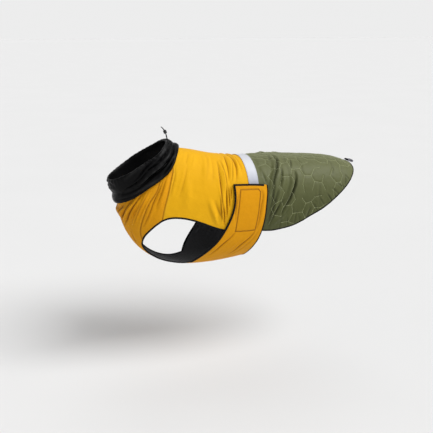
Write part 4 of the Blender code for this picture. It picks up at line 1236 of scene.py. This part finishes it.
# %% Lay the tape
TAPE_WIDTH = 25.0
TAPE_WALL = 1.0
LAYER_GAP = 0.35
TAPE_END = 69.4
TAPE_STEPS = 150
TAPE_ACROSS = 12

angles = np.linspace(0, TAPE_END, TAPE_STEPS)
along = natural_spline([angle for _, angle in TAPE_MIDDLE], [[x] for x, _ in TAPE_MIDDLE])(angles)
tape_middle = round_back(np.stack([along[:, 0], angles], axis=-1))
stretch = np.linalg.norm(on_body(tape_middle + (1, 0)) - on_body(tape_middle - (1, 0)), axis=1) / 2
half_tape = np.stack([TAPE_WIDTH / 2 / stretch, np.zeros(len(stretch))], axis=-1)
tape_places = np.stack([tape_middle + half_tape * share for share in np.linspace(-1, 1, TAPE_ACROSS + 1)])
tape = cut_piece("reflective_tape_film", tape_places, silver_tape, lift=WALL + LAYER_GAP, wall=TAPE_WALL,
                 inside=silver_tape)

# %% [markdown]
# ## Bindings
#
# Every raw edge of the shell is wrapped in a narrow black tape, folded in a U. On a grid of cloth
# that is a ring of points for each point of the rim: out along the outer skin, round the edge and
# back along the inner skin. Reading both skins at a few insets keeps the tape lying on the cloth,
# over every crease.

# %% Read a strip along an edge
READ_COLUMNS = 16


def inset(grid, distance):
    """Points of a grid at a distance inside its first column, square to that edge."""
    edge = grid[:, 0]
    tangent = unit(np.gradient(edge, axis=0))
    strip = grid[:, :READ_COLUMNS]
    offset = strip - edge[:, None]
    square = offset - (offset * tangent[:, None]).sum(-1, keepdims=True) * tangent[:, None]
    depth = np.maximum.accumulate(np.linalg.norm(square, axis=-1), axis=1)
    read = [[np.interp(distance, d, row[:, k]) for k in range(3)] for d, row in zip(depth, strip)]
    return np.array(read)


def edge_of(piece, edge):
    """A piece's skins and normals, turned so that the edge is the first column."""
    across = edge in ("first", "last")
    turned = []
    for grid in (piece.inner, piece.outer, outward(piece.places)):
        if across:
            grid = grid.transpose(1, 0, 2)
        turned.append(grid[:, ::-1] if edge in ("right", "last") else grid)
    return turned


print("the yoke's left edge has", len(edge_of(yoke, "left")[0]), "points")

# %% Wrap an edge
BINDING_THICK = 0.9
BINDING_WIDTH = 3.8
HEM_BINDING_WIDTH = 3.0
NARROW_BINDING_WIDTH = 2.2
INSETS = (1.0, 0.66, 0.33, 0.05)

# The section of the tape, in shares of its thickness: its thin lip, the turn near the edge and how
# far out that lies, and the round of the fold in shares of half the wall. Under it is a small gap.
LIP = 0.55
TURN = 0.85
TURN_OUT = 0.35
FOLD_ROUND = 0.6
SKIN_GAP = 0.04
RIM_GAP = 0.06


def edge_rings(inner, outer, normal, width):
    """Rings of a binding round the first column of two skins, in millimetres."""
    rim = (inner[:, 0] + outer[:, 0]) / 2
    thick = np.linalg.norm(outer[:, 0] - inner[:, 0], axis=1)[:, None] / 2
    into = inset(inner, width) - inner[:, 0]
    into = unit(into - (into * normal).sum(-1, keepdims=True) * normal)
    top = [inset(outer, width * share) for share in INSETS]
    low = [inset(inner, width * share) for share in INSETS]
    full = BINDING_THICK
    rings = [top[0] + normal * full * LIP, top[1] + normal * full, top[2] + normal * full]
    rings += [top[3] + normal * full * TURN - into * full * TURN_OUT]
    rings += [rim - into * full + normal * thick * FOLD_ROUND]
    rings += [rim - into * full - normal * thick * FOLD_ROUND]
    rings += [low[3] - normal * full * TURN - into * full * TURN_OUT]
    rings += [low[2] - normal * full, low[1] - normal * full, low[0] - normal * full * LIP]
    rings += [low[0] - normal * SKIN_GAP, low[3] - normal * SKIN_GAP - into * RIM_GAP]
    rings += [top[3] + normal * SKIN_GAP - into * RIM_GAP, top[0] + normal * SKIN_GAP]
    return np.stack(rings, axis=1)


def soften(rings, times=3):
    """Even out the rings where an edge passes from one piece to the next."""
    for _ in range(times):
        rings[1:-1] = (rings[:-2] + 2 * rings[1:-1] + rings[2:]) / 4
    return rings


def bind_edges(name, edges, width=BINDING_WIDTH):
    """One binding over edges that follow each other: (piece, edge, slice) each."""
    rings = []
    for piece, edge, span in edges:
        inner, outer, normal = (grid[span] for grid in edge_of(piece, edge))
        made = edge_rings(inner, outer, normal[:, 0], width)
        rings.append(made[1:] if rings else made)
    rings = soften(np.concatenate(rings))
    print(name, len(rings), "rings")
    return add_piece(name, tube_mesh(name, rings), [black_binding])


print("a binding is", BINDING_WIDTH, "mm wide and", BINDING_THICK, "mm thick")

# %% Bind the armholes, wings and hem
WHOLE = np.s_[:]
BACKWARDS = np.s_[::-1]
FROM_SEAM = np.s_[YOKE_SEAM_STEPS:]
BACK_TO_SEAM = np.s_[:YOKE_SEAM_STEPS - 1:-1]
LEFT_WING = np.s_[:WING_STEPS + 1]
RIGHT_WING = np.s_[:-WING_STEPS - 2:-1]
WING_TOP_SPAN = np.s_[:BAND_STEPS - 5]

armhole_left = bind_edges("armhole_tape_left", [
    (yoke, "right", BACK_TO_SEAM), (chest_side_left, "last", WHOLE), (bib, "left", FROM_SEAM)])
armhole_right = bind_edges("armhole_tape_right", [
    (yoke, "left", BACK_TO_SEAM), (chest_side_right, "last", BACKWARDS), (bib, "right", FROM_SEAM)])
wing_front_left = bind_edges("wing_front_tape_left", [(band, "first", LEFT_WING)])
wing_front_right = bind_edges("wing_front_tape_right", [(band, "first", RIGHT_WING)])
wing_top_left = bind_edges("wing_top_tape_left", [(band, "left", WING_TOP_SPAN)])
wing_top_right = bind_edges("wing_top_tape_right", [(band, "right", WING_TOP_SPAN)])
band_rear = bind_edges("band_rear_tape", [(band, "last", WHOLE)], NARROW_BINDING_WIDTH)
hem_tape = bind_edges("hem_tape", [
    (rump, "right", WHOLE), (rump, "last", BACKWARDS), (rump, "left", BACKWARDS)], HEM_BINDING_WIDTH)

# %% [markdown]
# ## Snood
#
# The collar is a tube of soft shell, folded double over a drawcord at its rim and pushed down into
# two rolls. Its section is a short table that goes up the inner wall, over the rim and down both
# rolls, read as a smooth curve. The drawcord gathers the rim, so fine pleats run down from it, and
# long slanting creases cross the rolls, as cloth that slides round a neck has.

# %% Shape the snood
SnoodRow = namedtuple("SnoodRow", "rise out")
SNOOD = [
    SnoodRow(0.012, 0.0), SnoodRow(0.35, 0.0), SnoodRow(0.72, 0.0), SnoodRow(0.94, 1.0),
    SnoodRow(1.00, 3.8), SnoodRow(0.98, 7.2), SnoodRow(0.88, 9.8), SnoodRow(0.70, 10.8),
    SnoodRow(0.50, 10.2), SnoodRow(0.37, 7.8), SnoodRow(0.29, 7.4), SnoodRow(0.19, 10.2),
    SnoodRow(0.05, 11.6), SnoodRow(-0.10, 10.4), SnoodRow(-0.18, 6.8), SnoodRow(-0.10, 3.2),
    SnoodRow(0.03, 2.6),
]
SNOOD_OVERHANG = 4.0
SNOOD_ROLL_FROM = 3.0
Bulge = namedtuple("Bulge", "waves share phase")
SNOOD_BULGES = [Bulge(3, 0.06, 1.0), Bulge(7, 0.04, 0.0)]


def snood_base(rows, angles):
    """Points of the snood's visible face, for row numbers of the table and angles."""
    section = natural_spline(range(len(SNOOD)), SNOOD)(rows)
    rise, out = section[..., 0], section[..., 1]
    turn = np.radians(angles)
    fullness = 1 + sum(b.share * np.sin(b.waves * turn + b.phase) for b in SNOOD_BULGES)
    seam, top = table_line(NECK_SEAM, angles), table_line(SNOOD_RIM, angles)
    lowest = min(row.rise for row in SNOOD)
    hang = np.stack([SNOOD_OVERHANG * rise / lowest, np.zeros_like(rise)], axis=-1)
    places = np.where(rise[..., None] < 0, seam + hang, seam + (top - seam) * rise[..., None])
    out = out * np.where(out > SNOOD_ROLL_FROM, fullness, 1)
    return on_body(places) + outward(places) * (out + fold_lift(places))[..., None]


def grid_normals(points):
    """Normals of a grid that closes across its columns."""
    wide = np.concatenate([points[:, -1:], points, points[:, :1]], axis=1)
    across = wide[:, 2:] - wide[:, :-2]
    return unit(np.cross(across, np.gradient(points, axis=0)))


print("the snood's section has", len(SNOOD), "rows")

# %% Crease and gather the snood
SNOOD_WALL = 1.3
SNOOD_AROUND = 260
SNOOD_DOWN = 92
SNOOD_CREASED_ROWS = (3.0, 4.5)
SNOOD_UNEVEN = 1.6

# The drawcord's gathers: so many round the rim, slanting and drifting, over these rows of the table.
GATHERS = 41
GATHER_HEIGHT = 0.28
GATHER_SLANT = 0.5
GATHER_DRIFT = 1.7
GATHER_DRIFT_WAVES = 5
GATHERED_ROWS = (3.2, 4.2)
UNGATHERED_ROWS = (5.0, 8.5)

# Creases of the snood: places are (row of the section's table, angle).
SNOOD_CREASES = [
    Crease(2.9, 4.4, [(8.8, 28), (8.4, 44), (8.1, 60), (8.2, 76), (8.3, 90), (9.3, 106), (9.6, 120),
                      (9.7, 136)]),
    Crease(-4.4, 4, [(7.4, 24), (7.2, 42), (6.9, 60), (7.0, 76), (7.1, 90), (8.0, 106), (8.4, 122),
                     (8.6, 138)]),
    Crease(-3.2, 3.8, [(9.9, 34), (9.5, 52), (9.4, 72), (9.6, 90), (10.5, 106), (10.8, 122)]),
    Crease(-4.0, 5.4, [(5.6, 72), (6.0, 82), (6.5, 93), (7.2, 107), (7.5, 119)]),
    Crease(2.4, 7, [(5.6, 20), (5.4, 36), (5.6, 52), (5.9, 66)]),
    Crease(2.2, 7, [(5.3, 86), (5.2, 98), (5.5, 112), (6.2, 128)]),
    Crease(-3.0, 4, [(6.6, 150), (6.0, 164), (6.2, 182), (6.9, 198)]),
    Crease(2.0, 6, [(7.6, 148), (7.2, 166), (7.6, 186)]),
    Crease(-2.8, 4, [(6.9, 12), (6.2, 26), (5.9, 40)]),
    Crease(-2.8, 4, [(11.9, 46), (11.6, 62), (11.7, 78)]),
    Crease(2.0, 6, [(12.3, 70), (12.1, 90), (12.0, 112), (12.3, 130)]),
    Crease(-2.4, 5, [(12.9, 100), (12.5, 120), (12.1, 142), (12.0, 160)]),
    Crease(-2.0, 5, [(12.2, 40), (12.7, 22), (12.4, 2), (12.0, -18)]),
    Crease(2.6, 6, [(8.4, 196), (8.0, 216), (8.4, 240), (9.2, 262)]),
    Crease(-3.6, 4, [(7.2, 200), (6.8, 222), (7.0, 246), (8.0, 268)]),
    Crease(-3.0, 6, [(6.4, 256), (6.0, 276), (6.4, 298), (7.2, 318)]),
    Crease(2.2, 6, [(5.4, 270), (5.5, 292), (6.0, 314)]),
    Crease(-2.8, 4, [(7.9, 300), (7.3, 322), (7.0, 342)]),
    Crease(-2.4, 5, [(12.6, 200), (12.2, 226), (11.9, 252), (12.1, 274)]),
    Crease(-2.0, 5, [(12.3, 290), (12.0, 316), (12.5, 340)]),
]


def snood_line(crease):
    """The points of a crease of the snood."""
    path = np.array(crease.path, float)
    smooth = natural_spline(range(len(path)), path)(np.linspace(0, len(path) - 1, CREASE_STEPS))
    return snood_base(smooth[:, 0], smooth[:, 1] % 360)


rows, angles = np.meshgrid(np.linspace(0, len(SNOOD) - 1, SNOOD_DOWN),
                           np.arange(SNOOD_AROUND) * 360 / SNOOD_AROUND, indexing="ij")
snood_points = snood_base(rows, angles)
snood_normal = grid_normals(snood_points)
flat_points = snood_points.reshape(-1, 3)
lifted = crease_lift(flat_points, [(crease, snood_line(crease)) for crease in SNOOD_CREASES])
# The crease marks: painted shade in troughs, painted highlight on ridges.
creased, painted_shade, high = (values.reshape(rows.shape) * ramp(rows, *SNOOD_CREASED_ROWS) for values in lifted)
drift = GATHER_DRIFT * np.sin(np.radians(GATHER_DRIFT_WAVES * angles))
gathers = np.sin(GATHERS * np.radians(angles) + drift + rows * GATHER_SLANT) * GATHER_HEIGHT
gathers = gathers * ramp(rows, *GATHERED_ROWS) * (1 - ramp(rows, *UNGATHERED_ROWS))
small = uneven(flat_points).reshape(rows.shape) * SNOOD_UNEVEN
snood_outer = snood_points + snood_normal * (creased + gathers + small)[..., None]
snood_inner = snood_outer - snood_normal * SNOOD_WALL
# The snood keeps painted shade in its troughs and a painted highlight on its ridges.
snood_mesh = wall_mesh("snood_cloth", snood_inner, snood_outer, {"painted_shade": painted_shade, "wear_and_highlight": high}, closed=True)
snood = add_piece("snood_cloth", snood_mesh, [soft_shell, soft_shell])
print("snood", len(snood_mesh.polygons), "faces")

# %% [markdown]
# ## Drawcord and stopper
#
# The elastic drawcord runs inside the snood's rim. At the nape its loop comes out and stands up
# through a small barrel stopper. Its route repeats the CAD model's. A mesh tube along it gets its
# own flat map, so the braid follows the cord.

# %% Lay the drawcord
CORD_DIAMETER = 2.0
CORD_STEPS = 80
CORD_SIDES = 14
CORD_TURN_AXIS = (1.0, 0.0, 0.4)

# Half of the loop as (x, y, z), from the left eyelet to the top. The other half mirrors it.
CORD_HALF = [
    (-198.5, -3.0, 53.8), (-199.2, -2.8, 58.0), (-200.4, -2.2, 63.0), (-202.0, -1.7, 68.0),
    (-204.6, -1.7, 74.5), (-207.2, -2.6, 78.0), (-209.8, -3.6, 80.8), (-212.0, -2.6, 82.8),
    (-212.9, 0.0, 83.4),
]


def circle(sides):
    """The cosines and sines of even turns."""
    turn = np.arange(sides) * 2 * np.pi / sides
    return np.stack([np.cos(turn), np.sin(turn)], axis=-1)


def round_tube(route, radius, sides):
    """Rings of a round tube along a route of points."""
    tangent = unit(np.gradient(route, axis=0))
    across = unit(np.cross(tangent, CORD_TURN_AXIS))
    over = np.cross(across, tangent)
    turns = circle(sides)
    ring = across[:, None] * turns[:, :1] + over[:, None] * turns[:, 1:]
    return route[:, None] + ring * radius


route = np.array(CORD_HALF)
route = np.concatenate([route, (route * (1, -1, 1))[-2::-1]])
steps = np.append(0, np.cumsum(np.linalg.norm(np.diff(route, axis=0), axis=1)))
cord_route = natural_spline(steps, route)(np.linspace(0, steps[-1], CORD_STEPS))
cord_length = np.linalg.norm(np.diff(cord_route, axis=0), axis=1).sum()
cord_mesh = tube_mesh("drawcord_elastic", round_tube(cord_route, CORD_DIAMETER / 2, CORD_SIDES))
drawcord = add_piece("drawcord_elastic", cord_mesh, [elastic_cord])
print("drawcord loop:", round(float(cord_length), 1), "mm")

# %% Turn the stopper
STOPPER_MIDDLE = (-203.3, 0.0, 71.25)
STOPPER_LENGTH = 8.0
STOPPER_RADIUS = 4.2
STOPPER_SLOT = (1.6, 3.4)
SLOT_CHAMFER = 1.12
STOPPER_SIDES = 40
STOPPER_SHARP = 40

# The barrel's outline from its foot to its top, as shares of its length and radius: a waist with
# rounded ends and a groove where the button slides in its shell.
STOPPER_OUTLINE = [
    (-0.5, 0.80), (-0.485, 0.90), (-0.44, 0.97), (-0.36, 1.0), (-0.1, 0.97), (0.06, 0.97), (0.10, 0.92),
    (0.14, 0.92), (0.18, 0.97), (0.36, 1.0), (0.44, 0.97), (0.485, 0.90), (0.5, 0.80),
]


def stopper_rings():
    """Rings from the slot's foot, out over the barrel and back down the slot."""
    slot = circle(STOPPER_SIDES) * STOPPER_SLOT
    barrel = circle(STOPPER_SIDES) * STOPPER_RADIUS
    profile = [(-0.5, slot), (-0.5, slot * SLOT_CHAMFER)]
    profile += [(place, barrel * share) for place, share in STOPPER_OUTLINE]
    profile += [(0.5, slot * SLOT_CHAMFER), (0.5, slot)]
    rings = [np.column_stack([flat, np.full(len(flat), place * STOPPER_LENGTH)]) for place, flat in profile]
    return np.array(rings)


rise = np.array(CORD_HALF[4]) - np.array(CORD_HALF[3])
tilt = math.atan2(rise[0], rise[2])
turned = np.array([[math.cos(tilt), 0, math.sin(tilt)], [0, 1, 0], [-math.sin(tilt), 0, math.cos(tilt)]])
stopper_points = stopper_rings() @ turned.T + STOPPER_MIDDLE
number = numbered(stopper_points.shape, closed=True)
faces = quads(np.concatenate([number, number[:1]]))
stopper_mesh = bpy.data.meshes.new("cord_stopper_barrel")
stopper_mesh.from_pydata((stopper_points.reshape(-1, 3) * MM).tolist(), [], faces.tolist())
turn_outward(stopper_mesh)
shade(stopper_mesh, STOPPER_SHARP)
stopper = add_piece("cord_stopper_barrel", stopper_mesh, [stopper_plastic])
print("stopper", len(stopper_mesh.polygons), "faces")

# %% [markdown]
# ## Tail tab
#
# At the tail a short loop of narrow woven tape stands out over the hem, held by a black tack. A
# side view of the loop, swept across its width with a slight crown, is all that it needs.

# %% Fold the tail tab
TAB_WIDTH = 12.0
TAB_LOOP = [
    (0.0, 0.0), (6.0, -0.6), (12.5, -0.2), (15.5, 1.4), (15.9, 3.6), (14.2, 5.8), (8.0, 6.6), (0.0, 4.6),
    (0.0, 2.7), (8.0, 3.9), (12.6, 3.7), (13.3, 3.1), (13.0, 2.6), (11.4, 2.2), (6.0, 2.0), (0.0, 2.1),
]
TAB_TILT = 3.0
TAB_ACROSS = 16
TAB_ALONG = 30
TAB_CROWN = 0.35
TAB_BINDING = 1.0
CROWN_FROM = 2.5
TACK_CROWN = 0.4
TACK_LENGTH = 5.0
TACK_HEIGHT = 5.4
TACK_CLEAR = 0.3

foot = np.array([TAB_START_X, 0.0])
tab_normal = outward(foot)
tab_run = unit(on_body(foot + (1, 0)) - on_body(foot))
tilt = math.radians(TAB_TILT)
tab_run, tab_rise = (tab_run * math.cos(tilt) + tab_normal * math.sin(tilt),
                     tab_normal * math.cos(tilt) - tab_run * math.sin(tilt))
tab_corner = on_body(foot) + tab_normal * (WALL + LAYER_GAP + TAB_BINDING + TACK_CLEAR)


def swept_side(outline, crown):
    """A side view swept across the tab, its upper part a little lower towards the sides."""
    rings = []
    for share in np.linspace(-1, 1, TAB_ACROSS):
        middle = tab_corner + np.array([0, share * TAB_WIDTH / 2, 0])
        drop = crown * share**4
        rings.append([middle + tab_run * a + tab_rise * (b - drop * (b > CROWN_FROM)) for a, b in outline])
    return np.array(rings)


sides = np.array(TAB_LOOP).reshape(2, -1, 2)
knots = range(len(sides[0]))
at = np.linspace(0, knots[-1], TAB_ALONG)
tab_outline = np.concatenate([natural_spline(knots, side)(at) for side in sides])
tab_mesh = tube_mesh("tail_tab_loop", swept_side(tab_outline, TAB_CROWN))
tail_tab = add_piece("tail_tab_loop", tab_mesh, [grey_tape])

low = -TACK_LENGTH - TACK_CLEAR
tack_outline = [
    (low, 0.5), (-TACK_CLEAR - 0.2, TACK_CLEAR), (-TACK_CLEAR, 0.8), (-TACK_CLEAR, TACK_HEIGHT - 0.6),
    (-0.9, TACK_HEIGHT), (-2.8, TACK_HEIGHT - 0.3), (low + 0.6, TACK_HEIGHT - 1.0), (low, TACK_HEIGHT - 1.6),
]
tack_mesh = tube_mesh("tail_tab_bartack", swept_side(tack_outline, TACK_CROWN))
tack = add_piece("tail_tab_bartack", tack_mesh, [black_binding])
print("tail tab", len(tab_mesh.polygons), "faces")

# %% [markdown]
# ## Hook-and-loop patches
#
# The patches under the wing ends are hidden in this closed state. The CAD solids have the right
# shape, so they stay and only get a pile finish.

# %% Dress the CAD patches
for name in ("closure_patch_left", "closure_patch_right"):
    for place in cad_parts[name].material_slots:
        place.material = hook_and_loop
    print(name, "keeps its CAD solid")

# %% [markdown]
# ## Stitches
#
# A sewn line is the same small stitch repeated at an even pitch, which is what Geometry Nodes are
# for. The tree turns a line into points, puts a rounded stitch on each, along the line, with a
# little seeded difference in length, and realises them. Python only lays the lines on the cloth, by
# dropping each point on the outer skin.

# %% Grow stitches along lines
STITCH_SEED = 5
STITCH_PITCH = 3.4
STITCH_LENGTH = 2.7
THREAD_RADIUS = 0.33

# The stitch is a coarse ball, stretched to between these shares of its length on each side.
STITCH_BALL = {"Segments": 6, "Rings": 5, "Radius": 1.0}
STITCH_SPREAD = {"Min": 0.42, "Max": 0.52}


def stitch_tree():
    """Stitches along the edges of a mesh of lines."""
    tree = bpy.data.node_groups.new("stitches", "GeometryNodeTree")
    face = tree.interface
    for title, kind in (("Lines", "Geometry"), ("Pitch", "Float"), ("Stitch length", "Float"),
                        ("Thread radius", "Float"), ("Seed", "Int"), ("Thread", "Material")):
        face.new_socket(title, in_out="INPUT", socket_type="NodeSocket" + kind)
    face.new_socket("Stitches", in_out="OUTPUT", socket_type="NodeSocketGeometry")

    def add(kind, links=None, **settings):
        """Add a node and give back its outputs."""
        node = tree.nodes.new(kind)
        for key, value in settings.items():
            setattr(node, key, value)
        for key, value in (links or {}).items():
            if isinstance(value, bpy.types.NodeSocket):
                tree.links.new(value, node.inputs[key])
            else:
                node.inputs[key].default_value = value
        return node.outputs

    given = add("NodeGroupInput")
    curve = add("GeometryNodeMeshToCurve", {"Mesh": given["Lines"]})
    points = add("GeometryNodeCurveToPoints", {"Curve": curve[0], "Length": given["Pitch"]}, mode="LENGTH")
    ball = add("GeometryNodeMeshUVSphere", STITCH_BALL)
    jitter = add("FunctionNodeRandomValue", {**STITCH_SPREAD, "Seed": given["Seed"]}, data_type="FLOAT")
    length = add("ShaderNodeMath", {0: given["Stitch length"], 1: jitter[1]}, operation="MULTIPLY")
    radius = given["Thread radius"]
    size = add("ShaderNodeCombineXYZ", {"X": radius, "Y": radius, "Z": length[0]})
    placed = add("GeometryNodeInstanceOnPoints", {
        "Points": points["Points"], "Instance": ball["Mesh"], "Rotation": points["Rotation"],
        "Scale": size[0]})
    real = add("GeometryNodeRealizeInstances", {"Geometry": placed[0]})
    smooth = add("GeometryNodeSetShadeSmooth", {"Geometry": real[0]})
    painted = add("GeometryNodeSetMaterial", {"Geometry": smooth[0], "Material": given["Thread"]})
    add("NodeGroupOutput", {"Stitches": painted[0]})
    return tree


stitching = stitch_tree()
inputs = [item for item in stitching.interface.items_tree if item.in_out == "INPUT"]
socket_names = {item.name: item.identifier for item in inputs}


def stitches(name, lines, thread, pitch=STITCH_PITCH, radius=THREAD_RADIUS):
    """A piece of stitches along lines of points, with sizes in millimetres."""
    mesh = bpy.data.meshes.new(name + "_lines")
    points, edges = [], []
    for line in lines:
        edges += [(len(points) + k, len(points) + k + 1) for k in range(len(line) - 1)]
        points += (np.asarray(line) * MM).tolist()
    mesh.from_pydata(points, edges, [])
    thing = bpy.data.objects.new(name, mesh)
    bpy.context.scene.collection.objects.link(thing)
    grow = thing.modifiers.new("stitches", "NODES")
    grow.node_group = stitching
    given = {"Pitch": pitch * MM, "Stitch length": STITCH_LENGTH * MM, "Thread radius": radius * MM,
             "Seed": STITCH_SEED, "Thread": thread}
    for title, value in given.items():
        grow[socket_names[title]] = value
    ready = thing.evaluated_get(bpy.context.evaluated_depsgraph_get())
    thing.data = bpy.data.meshes.new_from_object(ready)
    thing.modifiers.clear()
    thing.data.name = name
    print(name, len(thing.data.polygons), "faces")
    return thing


print("the stitches' inputs:", list(socket_names))

# %% Lay lines on a piece
DROP = 14.0
THREAD_SUNK = 0.05
LEAST_POINTS = 6


def skin_of(piece):
    """A piece's outer skin as a tree for ray casts, in millimetres."""
    grid = piece.outer
    return BVHTree.FromPolygons(grid.reshape(-1, 3).tolist(), quads(numbered(grid.shape)).tolist())


def lay(skin, places):
    """Lines of points that lie on a skin, sunk a little; a line breaks where the skin ends."""
    lines, line = [], []
    for point, normal in zip(on_body(places), outward(places)):
        start, down = Vector(point + normal * DROP), Vector(-normal)
        hit = skin.ray_cast(start, down, 2 * DROP)[0]
        if hit is None:
            lines.append(line)
            line = []
        else:
            line.append(np.array(hit + down * THREAD_SUNK))
    lines.append(line)
    return [np.array(run) for run in lines if len(run) >= LEAST_POINTS]


def beside(path, distance):
    """A path moved sideways on the body, to its left as it runs."""
    points = on_body(path)
    tangent = unit(np.gradient(points, axis=0))
    sideways = np.cross(outward(path), tangent)
    per_x = on_body(path + (1, 0)) - points
    per_angle = on_body(path + (0, 1)) - points
    moved = []
    for step, first, second in zip(sideways * distance, per_x, per_angle):
        moved.append(np.linalg.lstsq(np.stack([first, second], axis=-1), step, rcond=None)[0])
    return path + np.array(moved)


print("stitches are dropped from", DROP, "mm over the cloth")

# %% Sew the chest seams and the wing boxes
TOPSTITCH_OFF = 2.4
TOPSTITCH_STEPS = 90
BOX_THREAD_RADIUS = 0.45
BOX_FINER = 3

yoke_skin, bib_skin, band_skin = map(skin_of, (yoke, bib, band))
seam_rows = []
for side_of, past, offset in ((np.array, 0, TOPSTITCH_OFF), (mirrored, 360, -TOPSTITCH_OFF)):
    yoke_row = side_of(smooth_path(YOKE_SEAM, TOPSTITCH_STEPS))
    bib_row = side_of(smooth_path(BIB_SEAM, TOPSTITCH_STEPS)) + (0, past)
    seam_rows += lay(yoke_skin, beside(yoke_row, offset)) + lay(yoke_skin, beside(yoke_row, -offset))
    seam_rows += lay(bib_skin, beside(bib_row, -offset)) + lay(bib_skin, beside(bib_row, offset))
front_stitches = stitches("chest_topstitches", seam_rows, yellow_thread)

box_rows = []
for run in wing_boxes:
    fine = straight(run, BOX_FINER)
    box_rows += lay(band_skin, fine + (0, 360) if fine[:, 1].min() < 0 else fine)
box_stitches = stitches("wing_box_stitches", box_rows, brown_thread, radius=BOX_THREAD_RADIUS)

# %% Sew the tape and the quilting
TAPE_STITCH_SHARE = 0.86
QUILT_LINE_STEPS = 14
QUILT_FREE_FROM = 0.05
QUILT_LAST_ANGLE = 118
QUILT_PITCH = 3.0
QUILT_THREAD_RADIUS = 0.5

tape_skin, rump_skin = map(skin_of, (tape, rump))
tape_rows = []
for share in (-TAPE_STITCH_SHARE, TAPE_STITCH_SHARE):
    tape_rows += lay(tape_skin, tape_middle + half_tape * share)
tape_stitches = stitches("reflective_tape_stitches", tape_rows, grey_thread)

quilt_rows = []
for start, end in quilting:
    run = np.linspace(start, end, QUILT_LINE_STEPS) / (1, AROUND_PER_DEGREE)
    run = run[(uncovered(run) > QUILT_FREE_FROM) & (np.abs(run[:, 1]) < QUILT_LAST_ANGLE)]
    if len(run) > LEAST_POINTS:
        quilt_rows += lay(rump_skin, run)
quilt_stitches = stitches("quilting_stitches", quilt_rows, olive_thread, QUILT_PITCH, QUILT_THREAD_RADIUS)

# %% [markdown]
# ## Studio
#
# The photograph is a cut-out on white under soft studio light: bright on the back, still clear on the
# side and dim on the chest and belly. A very soft sun lamp high over the tail, a little to the
# camera's side, gives that, and a weak one from the far side lights the line of the back. The
# surround is dim overhead and bright near the horizon, where it meets the floor.

# %% Light the coat
FLOOR_Z = -0.527
FLOOR_HALF = 40.0
FLOOR_TONES = ((0.71, 0.71, 0.71), (0.735, 0.735, 0.735))
FLOOR_CLOUDS = 2.0
SKY_STRENGTH = 0.23
HORIZON_STRENGTH = 0.845
HORIZON_HEIGHTS = (0.10, 0.40)


def sun_lamp(name, toward, strength, spread):
    """A sun lamp from the direction of a vector, softened by its spread in degrees."""
    data = bpy.data.lights.new(name, "SUN")
    data.energy = strength
    data.angle = math.radians(spread)
    thing = bpy.data.objects.new(name, data)
    thing.rotation_euler = Vector(toward).to_track_quat("Z", "Y").to_euler()
    bpy.context.scene.collection.objects.link(thing)


sun_lamp("key_lamp", (0.46, -0.44, 0.77), 3.3, 42.0)
sun_lamp("rim_lamp", (0.20, 0.50, 0.85), 0.40, 36.0)

world = bpy.data.worlds.new("studio")
world.use_nodes = True
nodes, links = world.node_tree.nodes, world.node_tree.links
direction = nodes.new("ShaderNodeTexCoord")
parts = nodes.new("ShaderNodeSeparateXYZ")
links.new(direction.outputs["Generated"], parts.inputs[0])
fade = nodes.new("ShaderNodeMapRange")
links.new(parts.outputs["Z"], fade.inputs["Value"])
values = (*HORIZON_HEIGHTS, HORIZON_STRENGTH, SKY_STRENGTH)
for socket, value in zip(("From Min", "From Max", "To Min", "To Max"), values):
    fade.inputs[socket].default_value = value
nodes["Background"].inputs["Color"].default_value = (1.0, 1.0, 1.0, 1.0)
links.new(fade.outputs["Result"], nodes["Background"].inputs["Strength"])
bpy.context.scene.world = world
bpy.context.scene.view_settings.view_transform = "Standard"

floor_finish = Finish("studio_floor", Roughness=0.9, Specular_IOR_Level=0.1)
floor_tone = floor_finish.blend(floor_finish.cloud(FLOOR_CLOUDS), *FLOOR_TONES)
floor_mesh = bpy.data.meshes.new("studio_floor")
corners = [(x * FLOOR_HALF, y * FLOOR_HALF, FLOOR_Z) for x, y in ((-1, -1), (1, -1), (1, 1), (-1, 1))]
floor_mesh.from_pydata(corners, [], [(0, 1, 2, 3)])
floor = add_piece("studio_floor", floor_mesh, [floor_finish.done(Base_Color=floor_tone)])
floor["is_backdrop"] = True
print("floor at", FLOOR_Z)

# %% [markdown]
# ## Hand the pieces to the frame
#
# No joint moves the coat, so every piece rides on the one body. Each finer piece replaces its CAD
# solid, which stays in MuJoCo for collision.

# %% Ride and replace
Part = namedtuple("Part", "node piece slot", defaults=["black_binding"])
PARTS = [
    Part("yoke", yoke.thing, "yellow_shell"),
    Part("chest_side_left", chest_side_left.thing, "yellow_shell"),
    Part("chest_side_right", chest_side_right.thing, "yellow_shell"),
    Part("chest_bib", bib.thing, "yellow_shell"),
    Part("belly_band", band.thing, "yellow_shell"),
    Part("rump_panel", rump.thing, "olive_quilt"),
    Part("reflective_tape", tape.thing, "silver_tape"),
    Part("snood", snood, "black_soft_shell"),
    Part("drawcord", drawcord, "elastic_cord"),
    Part("cord_stopper", stopper, "stopper_plastic"),
    Part("tail_tab", tail_tab, "grey_tape"),
    Part("tail_tab_tack", tack),
    Part("armhole_binding_left", armhole_left),
    Part("armhole_binding_right", armhole_right),
    Part("wing_front_binding_left", wing_front_left),
    Part("wing_front_binding_right", wing_front_right),
    Part("wing_top_binding_left", wing_top_left),
    Part("wing_top_binding_right", wing_top_right),
    Part("band_rear_binding", band_rear),
    Part("hem_binding", hem_tape),
    Part(None, front_stitches, "yellow_shell"),
    Part(None, box_stitches, "yellow_shell"),
    Part(None, tape_stitches, "silver_tape"),
    Part(None, quilt_stitches, "olive_quilt"),
]
for part in PARTS:
    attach(part.piece, "root")
    if part.node:
        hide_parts(part.node)
print("pieces on the frame:", len(PARTS))

tuple(float(v) for v in cord_route[0] * MM)
(cord_route * MM).tolist()

# %% List both boxes
[[[float(v) for v in corner] for corner in box] for box in (cad_box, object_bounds())]
